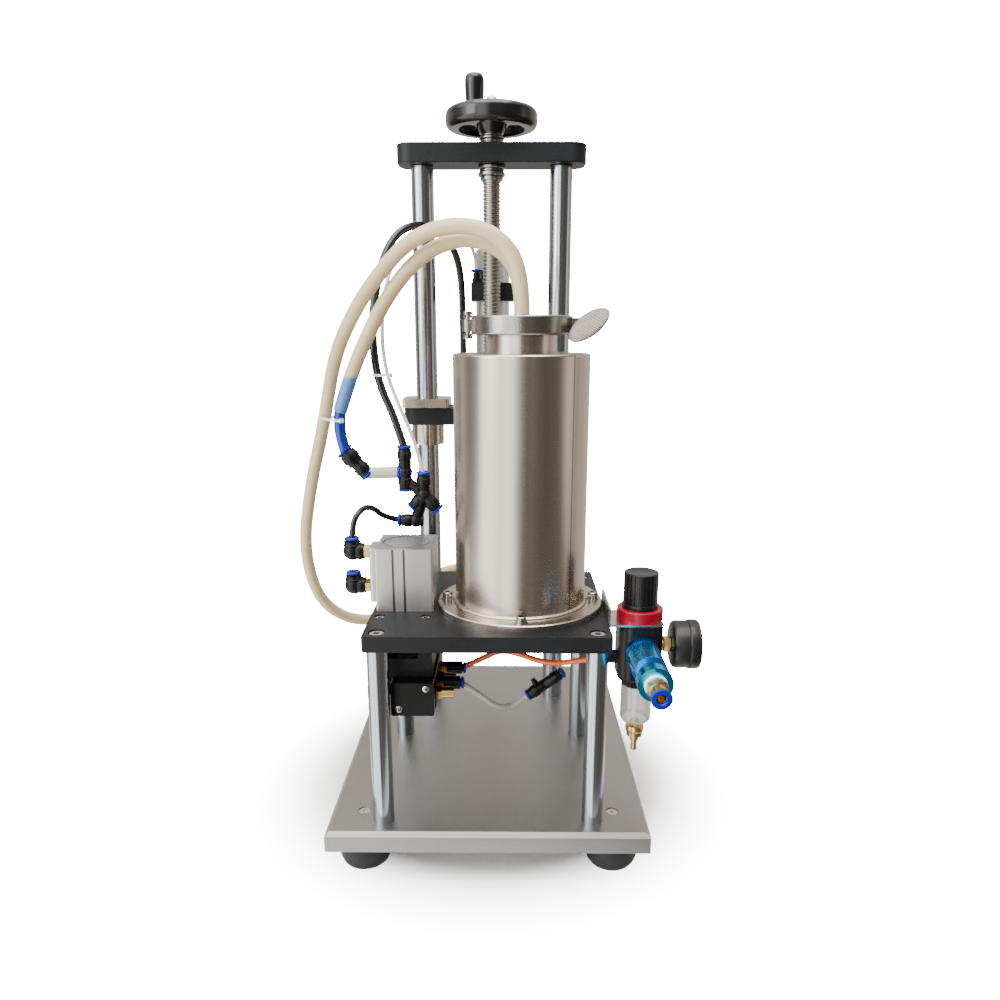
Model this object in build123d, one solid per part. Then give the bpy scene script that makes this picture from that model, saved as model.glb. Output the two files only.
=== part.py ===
from build123d import *
from math import cos, pi, radians, sin, tan
import os

# Benchtop piston liquid filler. Millimetres, +Z up. The origin is the middle of the base
# plate's top face; +X is to the right and -Y is the service side, where the tank stands.

# ---- driving dimensions ---------------------------------------------------
base_width = 306
base_depth = 400
base_thick = 20
base_chamfer = 4
foot_top_radius = 26
foot_bottom_radius = 19
foot_height = 34
foot_inset_x = 32
foot_inset_y = 39

plate_width = 225
plate_depth = 206.5
plate_thick = 15
plate_top = 190.5
plate_front_y = -187
post_radius = 10
post_edge = 12.5
post_back_edge = 19.5
socket_depth = 2

column_radius = 12.5
column_half_pitch = 76.5
column_y = 108
bar_bottom = 628.5
bar_thick = 20
bar_depth = 46
bar_length = 206
bar_corner = 16

spindle_radius = 10
journal_radius = 7
spindle_bottom = 244
collar_radius = 15
collar_stack = 15
thrust_radius = 14
thrust_stack = 12

wheel_radius = 50
wheel_rim_height = 20
wheel_rim_width = 14
wheel_hub_radius = 13
crank_radius = 11
crank_length = 44
crank_pitch_radius = 39

crosshead_bottom = 348
crosshead_thick = 20
tongue_width = 60
bearing_radius = 19
bearing_flange = 54
bearing_flange_thick = 10
bearing_length = 54
nut_radius = 14
nut_flange_radius = 21
nut_flange_thick = 8

head_y = 154
drive_radius = 20
drive_wall = 3.5
drive_height = 178
drive_end = 12
port_block_size = 50
port_block_bottom = 488
port_block_thick = 20
rod_radius = 6
piston_thick = 12
barrel_radius = 18
barrel_wall = 3
barrel_length = 178
dosing_piston_bottom = 190
outlet_size = 40
outlet_thick = 30
nozzle_radius = 5
nozzle_bore = 3
nozzle_length = 70

tank_x = 30.7
tank_y = -93.7
tank_radius = 63.5
tank_wall = 2
tank_height = 243
tank_flange_radius = 81
tank_flange_thick = 6
tank_bolt_circle = 72
neck_radius = 32
neck_height = 17
ferrule_radius = 38.5
ferrule_thick = 6.5
lid_thick = 6.5
gasket_thick = 2
barb_pitch = 28
clamp_radius = 46
clamp_height = 17

hose_radius = 7
vacuum_tube_radius = 6
drive_tube_radius = 4
inlet_tube_radius = 4
black_radius = 3
clear_radius = 2

cylinder_width = 56
cylinder_depth = 60
cylinder_height = 62
cylinder_gap_from_tank = 2.7
cylinder_front_y = -118
cylinder_bore = 20
cylinder_floor = 9
boss_thick = 8
pinch_rod_radius = 8
pinch_foot_radius = 11
pinch_foot_thick = 7
pinch_piston_thick = 10

bracket_depth = 92
bracket_front_y = -147
bracket_leg = 13
bracket_window = 31
bracket_drop = 22.5
bracket_floor = 18
bracket_shift = -0.5

valve_width = 42
valve_height = 33
valve_front_y = -162
valve_length = 100
valve_cap = 14
valve_x = -71

regulator_x = 145
regulator_y = -126
regulator_width = 42
regulator_depth = 44
regulator_height = 58
regulator_top = 186
ring_radius = 22
ring_height = 11
knob_radius = 17
knob_height = 34
bowl_radius = 15
bowl_height = 40
gauge_radius = 23
gauge_depth = 26
slide_body_radius = 12.5
slide_length = 74
sleeve_radius = 15.5
sleeve_length = 34
sleeve_travel = 6

# ---- clearances and fastener sizes ----------------------------------------
running = 0.05
gap = 0.3
screw_m8_head = 6.5
screw_m8_head_height = 8
screw_m8_shank = 4
screw_m5_head = 4.25
screw_m5_head_height = 5
screw_m5_shank = 2.5
hex_share = 0.45

# ---- derived places --------------------------------------------------------
plate_bottom = plate_top - plate_thick
post_x = plate_width / 2 - post_edge
post_front_y = plate_front_y + post_edge
post_back_y = plate_front_y + plate_depth - post_back_edge
bar_top = bar_bottom + bar_thick
crosshead_top = crosshead_bottom + crosshead_thick
drive_top = crosshead_top + drive_height
barrel_bottom = crosshead_bottom - barrel_length
outlet_bottom = barrel_bottom - outlet_thick
wheel_bottom = bar_top + thrust_stack
wheel_top = wheel_bottom + 4 + wheel_rim_height
cylinder_left = tank_x - tank_flange_radius - cylinder_gap_from_tank - cylinder_width
cylinder_x = cylinder_left + cylinder_width / 2
bracket_x = cylinder_x + bracket_shift
cylinder_y = cylinder_front_y + cylinder_depth / 2
window_floor = plate_bottom - bracket_drop
bracket_bottom = window_floor - bracket_floor
valve_top = bracket_bottom
valve_z = valve_top - valve_height / 2
flange_top = plate_top + tank_flange_thick
tank_top = plate_top + tank_height
ferrule_z = tank_top + neck_height
lid_bottom = ferrule_z + ferrule_thick + gasket_thick
lid_top = lid_bottom + lid_thick
clamp_z = ferrule_z + (lid_top - ferrule_z) / 2
foot_places = [
    (sx * (base_width / 2 - foot_inset_x), sy * (base_depth / 2 - foot_inset_y))
    for sx in (-1, 1)
    for sy in (-1, 1)
]
post_places = [(sx * post_x, y) for sx in (-1, 1) for y in (post_front_y, post_back_y)]
column_places = [(-column_half_pitch, column_y), (column_half_pitch, column_y)]

parts = {}


def disc(x, y, z, radius, height):
    """A round bar standing on z."""
    return Pos(x, y, z) * Cylinder(radius, height, align=(Align.CENTER, Align.CENTER, Align.MIN))


def block(x0, y0, z0, width, depth, height):
    """A box from its lowest corner."""
    return Pos(x0, y0, z0) * Box(width, depth, height, align=(Align.MIN, Align.MIN, Align.MIN))


def bar_along(start, direction, radius, length):
    """A round bar from a point along a direction."""
    plane = Plane(origin=start, z_dir=direction)
    return plane * Cylinder(radius, length, align=(Align.CENTER, Align.CENTER, Align.MIN))


def hex_along(start, direction, across_flats, length):
    """A hexagonal bar from a point along a direction."""
    plane = Plane(origin=start, z_dir=direction)
    return extrude(plane * RegularPolygon(across_flats / 2, 6, major_radius=False), length)


def socket_screw(x, y, z, head, head_height, shank, reach, up=1):
    """A socket-head screw whose head rests on z; up is -1 where it is driven from below."""
    way = (0, 0, up)
    screw = bar_along((x, y, z), way, head, head_height)
    screw += bar_along((x, y, z), (0, 0, -up), shank, reach)
    deep = head_height * 0.6
    top = z + up * head_height
    return screw - hex_along((x, y, top), (0, 0, -up), head * 2 * hex_share, deep)


def save(name, shapes):
    """Keep one node's solids."""
    solids = shapes if isinstance(shapes, list) else [shapes]
    parts[name] = Compound(children=[s for shape in solids for s in shape.solids()])


# ---- base, feet, posts and columns ------------------------------------------
def make_base():
    base = block(-base_width / 2, -base_depth / 2, -base_thick, base_width, base_depth, base_thick)
    base = chamfer(base.faces().sort_by(Axis.Z)[-1].edges(), base_chamfer)
    for x, y in foot_places:
        base -= disc(x, y, -base_thick, 3 + running, base_thick)
        base -= disc(x, y, -4, 6, 4)
    for x, y in post_places + column_places:
        radius = column_radius if (x, y) in column_places else post_radius
        base -= disc(x, y, -socket_depth, radius + running, socket_depth)
        base -= disc(x, y, -base_thick, screw_m8_shank + running, base_thick)
        base -= disc(x, y, -base_thick, screw_m8_head + 1, screw_m8_head_height + 1)
    save("base_plate", base)

    feet = []
    screws = []
    for x, y in foot_places:
        low = -base_thick - foot_height
        foot = Pos(x, y, low + foot_height / 2) * Cone(foot_bottom_radius, foot_top_radius, foot_height)
        foot = fillet(foot.edges().sort_by(Axis.Z)[0], 3)
        foot -= disc(x, y, low, 3 + running, foot_height)
        feet.append(foot - disc(x, y, low, 8, 12))
        screw = disc(x, y, -4, 5.5, 3.2) + disc(x, y, low + 13, 3, -4 - low - 13)
        screws.append(screw - disc(x, y, -2.4, 2, 1.6))
    save("rubber_feet", feet)
    save("foot_screws", screws)


def make_frame():
    thread = 26
    posts = []
    screws = []
    for x, y in post_places:
        post = disc(x, y, -socket_depth, post_radius, plate_bottom + socket_depth)
        post = chamfer(post.edges().filter_by(GeomType.CIRCLE), 0.8)
        post -= disc(x, y, -socket_depth, screw_m8_shank + running, thread)
        post -= disc(x, y, plate_bottom - thread, screw_m8_shank + running, thread)
        posts.append(post)
        seat = plate_top - screw_m8_head_height - 1
        screws.append(socket_screw(x, y, seat, screw_m8_head, screw_m8_head_height, screw_m8_shank, 24))
    save("support_posts", posts)

    columns = []
    for x, y in column_places:
        column = disc(x, y, -socket_depth, column_radius, bar_bottom + socket_depth)
        column = chamfer(column.edges().filter_by(GeomType.CIRCLE), 0.8)
        column -= disc(x, y, -socket_depth, screw_m8_shank + running, thread)
        column -= disc(x, y, bar_bottom - thread, screw_m8_shank + running, thread)
        columns.append(column)
        seat = bar_top - screw_m8_head_height - 1
        screws.append(socket_screw(x, y, seat, screw_m8_head, screw_m8_head_height, screw_m8_shank, 24))
    save("columns", columns)

    for x, y in post_places + column_places:
        seat = -base_thick + screw_m8_head_height + 1
        reach = base_thick + thread - screw_m8_head_height - socket_depth - 6
        screws.append(socket_screw(x, y, seat, screw_m8_head, screw_m8_head_height, screw_m8_shank, reach, -1))
    save("frame_screws", screws)

    outline = Pos(0, column_y, bar_bottom) * RectangleRounded(bar_length, bar_depth, bar_corner)
    bar = extrude(outline, bar_thick)
    bar = chamfer(bar.faces().sort_by(Axis.Z)[-1].edges() + bar.faces().sort_by(Axis.Z)[0].edges(), 1)
    bar -= disc(0, column_y, bar_bottom, journal_radius + running, bar_thick)
    for x, y in column_places:
        bar -= disc(x, y, bar_bottom, screw_m8_shank + running, bar_thick)
        bar -= disc(x, y, bar_top - screw_m8_head_height - 1, screw_m8_head + 1, screw_m8_head_height + 1)
    save("top_bar", bar)


bracket_screw_places = [
    (bracket_x + side * (bracket_window + bracket_leg) / 2, y)
    for side in (-1, 1)
    for y in (bracket_front_y + 15, bracket_front_y + bracket_depth - 15)
]
tank_screw_places = [
    (tank_x + tank_bolt_circle * cos(radians(a)), tank_y + tank_bolt_circle * sin(radians(a)))
    for a in (0, 90, 180, 270)
]


def make_mid_plate():
    plate = block(-plate_width / 2, plate_front_y, plate_bottom, plate_width, plate_depth, plate_thick)
    plate = chamfer(plate.edges().filter_by(Axis.Z), 2)
    for x, y in post_places:
        plate -= disc(x, y, plate_bottom, screw_m8_shank + running, plate_thick)
        plate -= disc(x, y, plate_top - screw_m8_head_height - 1, screw_m8_head + 1, screw_m8_head_height + 1)
    screws = []
    for x, y in bracket_screw_places:
        seat = plate_top - screw_m5_head_height - 1
        plate -= disc(x, y, plate_bottom, screw_m5_shank + running, plate_thick)
        plate -= disc(x, y, seat, screw_m5_head + 0.75, screw_m5_head_height + 1)
        screws.append(socket_screw(x, y, seat, screw_m5_head, screw_m5_head_height, screw_m5_shank, 22))
    for x, y in tank_screw_places:
        plate -= disc(x, y, plate_bottom, screw_m5_shank + running, plate_thick)
    plate -= disc(cylinder_x, cylinder_y, plate_bottom, pinch_rod_radius + 1, plate_thick)
    save("mid_plate", plate)

    depth = bracket_depth
    outer = bracket_window + 2 * bracket_leg
    left = bracket_x - outer / 2
    bracket = block(left, bracket_front_y, bracket_bottom, outer, depth, plate_bottom - bracket_bottom)
    bracket -= block(
        bracket_x - bracket_window / 2, bracket_front_y, window_floor, bracket_window, depth, bracket_drop
    )
    bracket = chamfer(bracket.edges().filter_by(Axis.Y).group_by(Axis.Z)[0], 1.5)
    for x, y in bracket_screw_places:
        bracket -= disc(x, y, plate_bottom - 16, screw_m5_shank + running, 16)
    save("u_bracket", bracket)
    for x, y in tank_screw_places:
        screws.append(socket_screw(x, y, flange_top, screw_m5_head, screw_m5_head_height, screw_m5_shank, 18))
    save("plate_screws", screws)


# ---- spindle, handwheel and crank --------------------------------------------
def make_spindle():
    screw = disc(0, column_y, spindle_bottom, spindle_radius, bar_bottom - gap - spindle_bottom)
    screw = chamfer(screw.edges().sort_by(Axis.Z)[0], 2)
    screw += disc(0, column_y, bar_bottom - gap, journal_radius, wheel_top + 6 - bar_bottom + gap)
    save("lead_screw", screw)

    washers = []
    lower = collar_stack / 3
    for i in range(3):
        radius = collar_radius - (1.5 if i == 1 else 0)
        z = bar_bottom - gap - (i + 1) * lower
        ring = disc(0, column_y, z, radius, lower) - disc(0, column_y, z, spindle_radius + running, lower)
        washers.append(ring)
    upper = (thrust_stack - gap) / 3
    for i in range(3):
        radius = thrust_radius - (1.5 if i == 1 else 0)
        z = bar_top + gap + i * upper
        ring = disc(0, column_y, z, radius, upper) - disc(0, column_y, z, journal_radius + running, upper)
        washers.append(ring)
    save("thrust_washers", washers)

    rim_bottom = wheel_top - wheel_rim_height
    rim = disc(0, column_y, rim_bottom, wheel_radius, wheel_rim_height)
    rim = fillet(rim.edges(), wheel_rim_height * 0.34)
    rim -= disc(0, column_y, rim_bottom, wheel_radius - wheel_rim_width, wheel_rim_height)
    web_thick = 7
    web_z = rim_bottom + 5
    wheel = rim + disc(0, column_y, web_z, wheel_radius - wheel_rim_width + 1, web_thick)
    hub = Pos(0, column_y, wheel_bottom + 6) * Cone(wheel_hub_radius, wheel_hub_radius + 5, 12)
    wheel += hub
    wheel += disc(0, column_y, web_z, wheel_hub_radius + 3, wheel_top - 3 - web_z)
    slot_radius = 8
    for i in range(5):
        angle = radians(90 + 72 * i)
        x = 26.5 * cos(angle)
        y = column_y + 26.5 * sin(angle)
        wheel -= disc(x, y, web_z - 2, slot_radius, web_thick + 4)
    wheel -= disc(0, column_y, wheel_bottom, journal_radius + running, 40)
    crank_x, crank_y = crank_place
    wheel += disc(crank_x, crank_y, web_z, 8, wheel_top - web_z)
    wheel -= disc(crank_x, crank_y, web_z, 4 + running, 40)
    save("handwheel", wheel)

    dome = disc(0, column_y, wheel_top - 3, 9.5, 2)
    dome += hex_along((0, column_y, wheel_top - 1), (0, 0, 1), 17, 8)
    dome += Pos(0, column_y, wheel_top + 7) * Sphere(7.2)
    dome -= disc(0, column_y, wheel_top - 3, journal_radius + running, 9 + running)
    stud = disc(crank_x, crank_y, web_z, 4, wheel_top + crank_length - 6 - web_z)
    stud += disc(crank_x, crank_y, wheel_top + crank_length - 6, 6, 3)
    save("wheel_hardware", [dome, stud])

    grip = Pos(crank_x, crank_y, wheel_top + gap) * Cylinder(
        crank_radius, crank_length, align=(Align.CENTER, Align.CENTER, Align.MIN)
    )
    grip = fillet(grip.edges().sort_by(Axis.Z)[-1], 3)
    grip = chamfer(grip.edges().sort_by(Axis.Z)[0], 2)
    grip -= disc(crank_x, crank_y, wheel_top + gap, 4 + running, crank_length)
    grip -= disc(crank_x, crank_y, wheel_top + crank_length - 6 - gap, 6 + gap, 10)
    save("crank_handle", grip)


crank_angle = radians(120)
crank_place = (crank_pitch_radius * cos(crank_angle), column_y + crank_pitch_radius * sin(crank_angle))


# ---- crosshead and dosing head -------------------------------------------------
def make_crosshead():
    outline = Pos(0, column_y, crosshead_bottom) * RectangleRounded(bar_length, bar_depth, bar_corner)
    beam = extrude(outline, crosshead_thick)
    tongue_end = head_y + drive_radius + 8
    beam += block(
        -tongue_width / 2, column_y, crosshead_bottom, tongue_width, tongue_end - column_y, crosshead_thick
    )
    beam = chamfer(beam.faces().sort_by(Axis.Z)[-1].edges() + beam.faces().sort_by(Axis.Z)[0].edges(), 1)
    beam -= disc(0, column_y, crosshead_bottom, nut_radius + running, crosshead_thick)
    beam -= disc(0, head_y, crosshead_bottom, rod_radius + gap, crosshead_thick)
    for x, y in column_places:
        beam -= disc(x, y, crosshead_bottom, bearing_radius + running, crosshead_thick)
    save("crosshead", beam)

    bearings = []
    screws = []
    reach = bearing_flange / 2 - 7
    for x, y in column_places:
        outline = Pos(x, y, crosshead_top) * RectangleRounded(bearing_flange, bearing_flange, 4)
        flange = extrude(outline, bearing_flange_thick)
        bottom = crosshead_top + bearing_flange_thick - bearing_length
        bearing = flange + disc(x, y, bottom, bearing_radius, bearing_length)
        bearing -= disc(x, y, bottom, column_radius + running, bearing_length)
        for sx in (-1, 1):
            for sy in (-1, 1):
                px, py = x + sx * reach, y + sy * reach
                seat = crosshead_top + bearing_flange_thick - 4
                bearing -= disc(px, py, crosshead_top, screw_m5_shank + running, bearing_flange_thick)
                bearing -= disc(px, py, seat, screw_m5_head + 0.4, 4)
                screws.append(socket_screw(px, py, seat, screw_m5_head, 4, screw_m5_shank, 4))
        bearings.append(bearing)
    save("linear_bearings", bearings)
    save("bearing_screws", screws)

    nut = disc(0, column_y, crosshead_top, nut_flange_radius, nut_flange_thick)
    nut += disc(0, column_y, crosshead_bottom - 6, nut_radius, crosshead_thick + 6)
    nut -= disc(0, column_y, crosshead_bottom - 6, spindle_radius + running, 60)
    save("lead_nut", nut)


elbow_rise = 9
elbow_lip = 1.6
tube_seat = 8


def elbow(corner, inlet, inlet_length, outlet, outlet_length, body_radius, bore):
    """A push-in elbow: a body from its thread side to the corner, then to its tube port."""
    body = bar_along(corner, inlet, body_radius, inlet_length)
    body += bar_along(corner, outlet, body_radius, outlet_length)
    body += Pos(*corner) * Sphere(body_radius)
    tip = Vector(*corner) + Vector(*outlet) * outlet_length
    body += bar_along(tuple(tip), outlet, body_radius - 0.8, elbow_lip)
    end = tip + Vector(*outlet) * elbow_lip
    return body - bar_along(tuple(end), tuple(Vector(*outlet) * -1), bore, 9)


drive_port_x = -drive_radius - 16
drive_port_z = crosshead_top + 22
block_port = (-18.5, head_y - 18.5)


def make_head():
    inner = drive_radius - drive_wall
    tube = disc(0, head_y, crosshead_top, drive_radius, drive_height)
    tube = chamfer(tube.edges().sort_by(Axis.Z)[-1], 1.5)
    tube -= disc(0, head_y, crosshead_top + drive_end, inner, drive_height - 2 * drive_end)
    tube -= disc(0, head_y, crosshead_top, rod_radius + running, drive_end)
    save("drive_cylinder", tube)

    half = port_block_size / 2
    holder = block(-half, head_y - half, port_block_bottom, port_block_size, port_block_size, port_block_thick)
    holder = chamfer(holder.edges().filter_by(Axis.Z), 1.5)
    holder -= disc(0, head_y, port_block_bottom, drive_radius + running, port_block_thick)
    save("port_block", holder)

    side_reach = -drive_port_x - drive_radius - gap
    corner = (drive_port_x, head_y, drive_port_z)
    lower = elbow(corner, (1, 0, 0), side_reach, (0, 0, 1), elbow_rise, 6.5, drive_tube_radius + running)
    px, py = block_port
    top = hex_along((px, py, port_block_bottom + port_block_thick), (0, 0, 1), 9, 5)
    top += disc(px, py, port_block_bottom + port_block_thick + 5, 4.2, 6)
    top -= disc(px, py, port_block_bottom + port_block_thick + 3, clear_radius + running, 9)
    save("drive_fittings", [lower, top])

    drive_piston_z = crosshead_top + drive_end + gap
    rod = disc(0, head_y, dosing_piston_bottom, rod_radius, drive_piston_z - dosing_piston_bottom)
    rod += disc(0, head_y, drive_piston_z, inner - running, piston_thick)
    rod += disc(0, head_y, dosing_piston_bottom, barrel_radius - barrel_wall - running, piston_thick + 6)
    save("dosing_piston", rod)

    barrel = disc(0, head_y, barrel_bottom, barrel_radius, barrel_length)
    barrel -= disc(0, head_y, barrel_bottom, barrel_radius - barrel_wall, barrel_length)
    save("dosing_barrel", barrel)

    side = outlet_size / 2
    outlet = block(-side, head_y - side, outlet_bottom, outlet_size, outlet_size, outlet_thick)
    outlet = chamfer(outlet.edges().filter_by(Axis.Z), 3)
    outlet -= disc(0, head_y, outlet_bottom, nozzle_bore, outlet_thick)
    outlet += bar_along((-side, head_y, outlet_bottom + outlet_thick / 2), (-1, 0, 0), hose_radius + 1, 6)
    save("outlet_block", outlet)

    nozzle = disc(0, head_y, outlet_bottom - nozzle_length, nozzle_radius, nozzle_length)
    nozzle += hex_along((0, head_y, outlet_bottom - 8), (0, 0, 1), 17, 8)
    nozzle -= disc(0, head_y, outlet_bottom - nozzle_length, nozzle_bore, nozzle_length)
    save("nozzle", nozzle)


# ---- tank, lid and band clamp ----------------------------------------------------
def make_tank():
    x, y = tank_x, tank_y
    wall = tank_wall
    shell = disc(x, y, flange_top, tank_radius, tank_top - flange_top)
    shell = fillet(shell.edges().sort_by(Axis.Z)[-1], 2.5)
    shell += disc(x, y, tank_top - wall, neck_radius, neck_height + wall)
    ferrule = disc(x, y, ferrule_z, ferrule_radius, ferrule_thick)
    shell += ferrule
    shell -= disc(x, y, flange_top, tank_radius - wall, tank_top - flange_top - wall)
    shell -= disc(x, y, tank_top - wall, neck_radius - wall, neck_height + ferrule_thick + wall)
    flange = disc(x, y, plate_top, tank_flange_radius, tank_flange_thick)
    flange = chamfer(flange.edges().sort_by(Axis.Z)[-1], 0.8)
    for px, py in tank_screw_places:
        flange -= disc(px, py, plate_top, screw_m5_shank + running, tank_flange_thick)
    save("tank", shell + flange)

    gasket = disc(x, y, ferrule_z + ferrule_thick, ferrule_radius - 3, gasket_thick)
    save("lid_gasket", gasket - disc(x, y, ferrule_z, neck_radius - wall, 20))

    lid = disc(x, y, lid_bottom, ferrule_radius, lid_thick)
    for py in barb_places:
        lid += disc(x, py, lid_top, hose_radius + 1, 2)
        lid += disc(x, py, lid_top, 4, 2)
    save("tank_lid", lid)


barb_places = (tank_y - barb_pitch / 2, tank_y + barb_pitch / 2)
barb_top = lid_top + 2
clamp_split = 5
ear_reach = 24
ear_thick = 9
nut_gap = 2
wing_lean = radians(-37)


def make_clamp():
    x, y = tank_x, tank_y
    low = clamp_z - clamp_height / 2
    ring = disc(x, y, low, clamp_radius, clamp_height)
    ring = fillet(ring.edges(), 2)
    ring -= disc(x, y, low, ferrule_radius - 2.5, clamp_height)
    groove = disc(x, y, ferrule_z - 0.2, ferrule_radius + 0.3, lid_top - ferrule_z + 0.4)
    ring -= groove
    cut = clamp_split / 2
    halves = []
    ear_x = clamp_radius - 3
    for side in (-1, 1):
        front = side < 0
        y0 = y - 60 if front else y + cut
        half = ring & block(x - 80, y0, low - 5, 160, 60 - cut, clamp_height + 10)
        ear_y = y - cut - ear_thick if front else y + cut
        ear = block(x + ear_x, ear_y, low + 2, ear_reach, ear_thick, clamp_height - 4)
        ear -= block(x + ear_x + 7, ear_y - 1, clamp_z - 3.6, ear_reach, ear_thick + 2, 7.2)
        hinge_y = y - cut - 4.5 if front else y + cut + 4.5
        lug = disc(x - clamp_radius - 3, hinge_y, low + 3, 4.5, clamp_height - 6)
        lug += block(x - clamp_radius - 3, hinge_y - 4.5, low + 3, 6, 9, clamp_height - 6)
        lug -= disc(x - clamp_radius - 3, hinge_y, low, 2 + running, clamp_height)
        halves.append(half + ear + lug)
    for hinge_y in (y - cut - 4.5, y + cut + 4.5):
        pin = disc(x - clamp_radius - 3, hinge_y, low - 1, 2, clamp_height + 2)
        pin += disc(x - clamp_radius - 3, hinge_y, low - 3.5, 4, 2.5)
        pin += disc(x - clamp_radius - 3, hinge_y, low + clamp_height + 1, 4, 2.5)
        halves.append(pin)
    for z in (low - 1, low + clamp_height - 2):
        link = block(x - clamp_radius - 7, y - 8, z, 8, 16, 2.5)
        for hinge_y in (y - cut - 4.5, y + cut + 4.5):
            link -= disc(x - clamp_radius - 3, hinge_y, z, 2 + running, 3)
        halves.append(link)
    save("clamp_halves", halves)

    pivot_x = x + ear_x + 15
    pivot_y = y + cut + ear_thick + 6
    bolt = disc(pivot_x, pivot_y, clamp_z - 6, 5.5, 12)
    bolt += bar_along((pivot_x, pivot_y, clamp_z), (0, -1, 0), 3, 52)
    save("clamp_bolt", bolt)

    nut_y = y - cut - ear_thick - nut_gap
    nut = bar_along((pivot_x, nut_y, clamp_z), (0, -1, 0), 7.5, 5)
    nut += bar_along((pivot_x, nut_y - 5, clamp_z), (0, -1, 0), 6, 11)
    for side in (-1, 1):
        wing = Plane((pivot_x, nut_y - 12, clamp_z), (0, -1, 0), (sin(wing_lean), 0, cos(wing_lean)))
        plate = extrude(wing * Pos(9, side * 11.5) * Ellipse(13, 9), 1.6, both=True)
        nut += plate
    nut -= bar_along((pivot_x, nut_y + 1, clamp_z), (0, -1, 0), 3 + running, 30)
    save("wing_nut", nut)


# ---- compact cylinder, its elbows, and the air valve -------------------------------
upper_port_z = plate_top + 52.5
lower_port_z = plate_top + 17.5
elbow_x = cylinder_left - boss_thick - 18
port_y = cylinder_y


def make_pinch():
    y0 = cylinder_front_y
    body = block(cylinder_left, y0, plate_top, cylinder_width, cylinder_depth, cylinder_height)
    body = fillet(body.edges().filter_by(Axis.Z), 2)
    for gx in (0.3, 0.49):
        for gy in (y0, y0 + cylinder_depth - 1.6):
            body -= block(cylinder_left + cylinder_width * gx, gy, plate_top, 1.8, 1.6, cylinder_height)
    boss = block(cylinder_left - boss_thick, port_y - 14, plate_top + 4, boss_thick, 28, cylinder_height - 7)
    body += fillet(boss.edges().filter_by(Axis.Z).sort_by(Axis.X)[:2], 3)
    room = cylinder_height - 2 * cylinder_floor
    body -= disc(cylinder_x, cylinder_y, plate_top + cylinder_floor, cylinder_bore, room)
    body -= disc(cylinder_x, cylinder_y, plate_top, pinch_rod_radius + running, cylinder_floor)
    for z in (upper_port_z, lower_port_z):
        body -= bar_along((cylinder_left - boss_thick, port_y, z), (1, 0, 0), 4.5, 7)
    lip = disc(cylinder_x, cylinder_y, plate_top + cylinder_height - 1.6, cylinder_bore + 4, 2)
    body -= lip - disc(cylinder_x, cylinder_y, plate_top, cylinder_bore + 1.4, 90)
    save("pinch_cylinder", body)

    piston_top = plate_top + cylinder_height - cylinder_floor - gap
    foot_bottom = plate_bottom - 2 - pinch_foot_thick
    rod = disc(cylinder_x, cylinder_y, foot_bottom, pinch_rod_radius, piston_top - foot_bottom)
    piston_z = piston_top - pinch_piston_thick
    rod += disc(cylinder_x, cylinder_y, piston_z, cylinder_bore - running, pinch_piston_thick)
    rod += disc(cylinder_x, cylinder_y, foot_bottom, pinch_foot_radius, pinch_foot_thick)
    save("pinch_rod", rod)

    stems = []
    for z in (upper_port_z, lower_port_z):
        start = (cylinder_left - boss_thick, port_y, z)
        stem = hex_along(start, (-1, 0, 0), 12, 6) + bar_along(start, (1, 0, 0), 4.5 - running, 6)
        stem += bar_along(start, (-1, 0, 0), 3.5, 10)
        stems.append(stem)
    turned = []
    for z in (upper_port_z, lower_port_z):
        corner = (elbow_x, port_y, z)
        body = elbow(corner, (1, 0, 0), 12 - gap, (0, 0, 1), elbow_rise, 8, black_radius + running)
        turned.append(body - bar_along((elbow_x + 12, port_y, z), (-1, 0, 0), 3.5 + running, 5))
    air_elbows = [turned[0]]
    save("swivel_elbow", turned[1])

    side = valve_x + valve_width / 2
    for y in (valve_front_y + 22, valve_front_y + 56):
        silencer = hex_along((side, y, valve_z - 3), (1, 0, 0), 12, 5)
        silencer += bar_along((side + 5, y, valve_z - 3), (1, 0, 0), 5.5, 12)
        stems.append(silencer)
    for y in (valve_port_y, supply_port[1]):
        stems.append(hex_along((side, y, valve_z), (1, 0, 0), 12, 6))
    save("brass_stems", stems)

    for y in (valve_port_y, supply_port[1]):
        fitting = bar_along((side + 6, y, valve_z), (1, 0, 0), 6.5, 16)
        air_elbows.append(fitting - bar_along((side + 22, y, valve_z), (-1, 0, 0), black_radius + running, 9))
    for y in (valve_front_y + 30, valve_front_y + 52):
        corner = (valve_x - valve_width / 2 - 20, y, valve_z - 2)
        air_elbows.append(elbow(corner, (1, 0, 0), 20, (0, 0, -1), elbow_rise, 6.5, black_radius + running))
    save("air_elbows", air_elbows)


valve_port_y = valve_front_y + 39
supply_port = (valve_x + valve_width / 2 + 22, valve_front_y + 76, valve_z)


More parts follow.
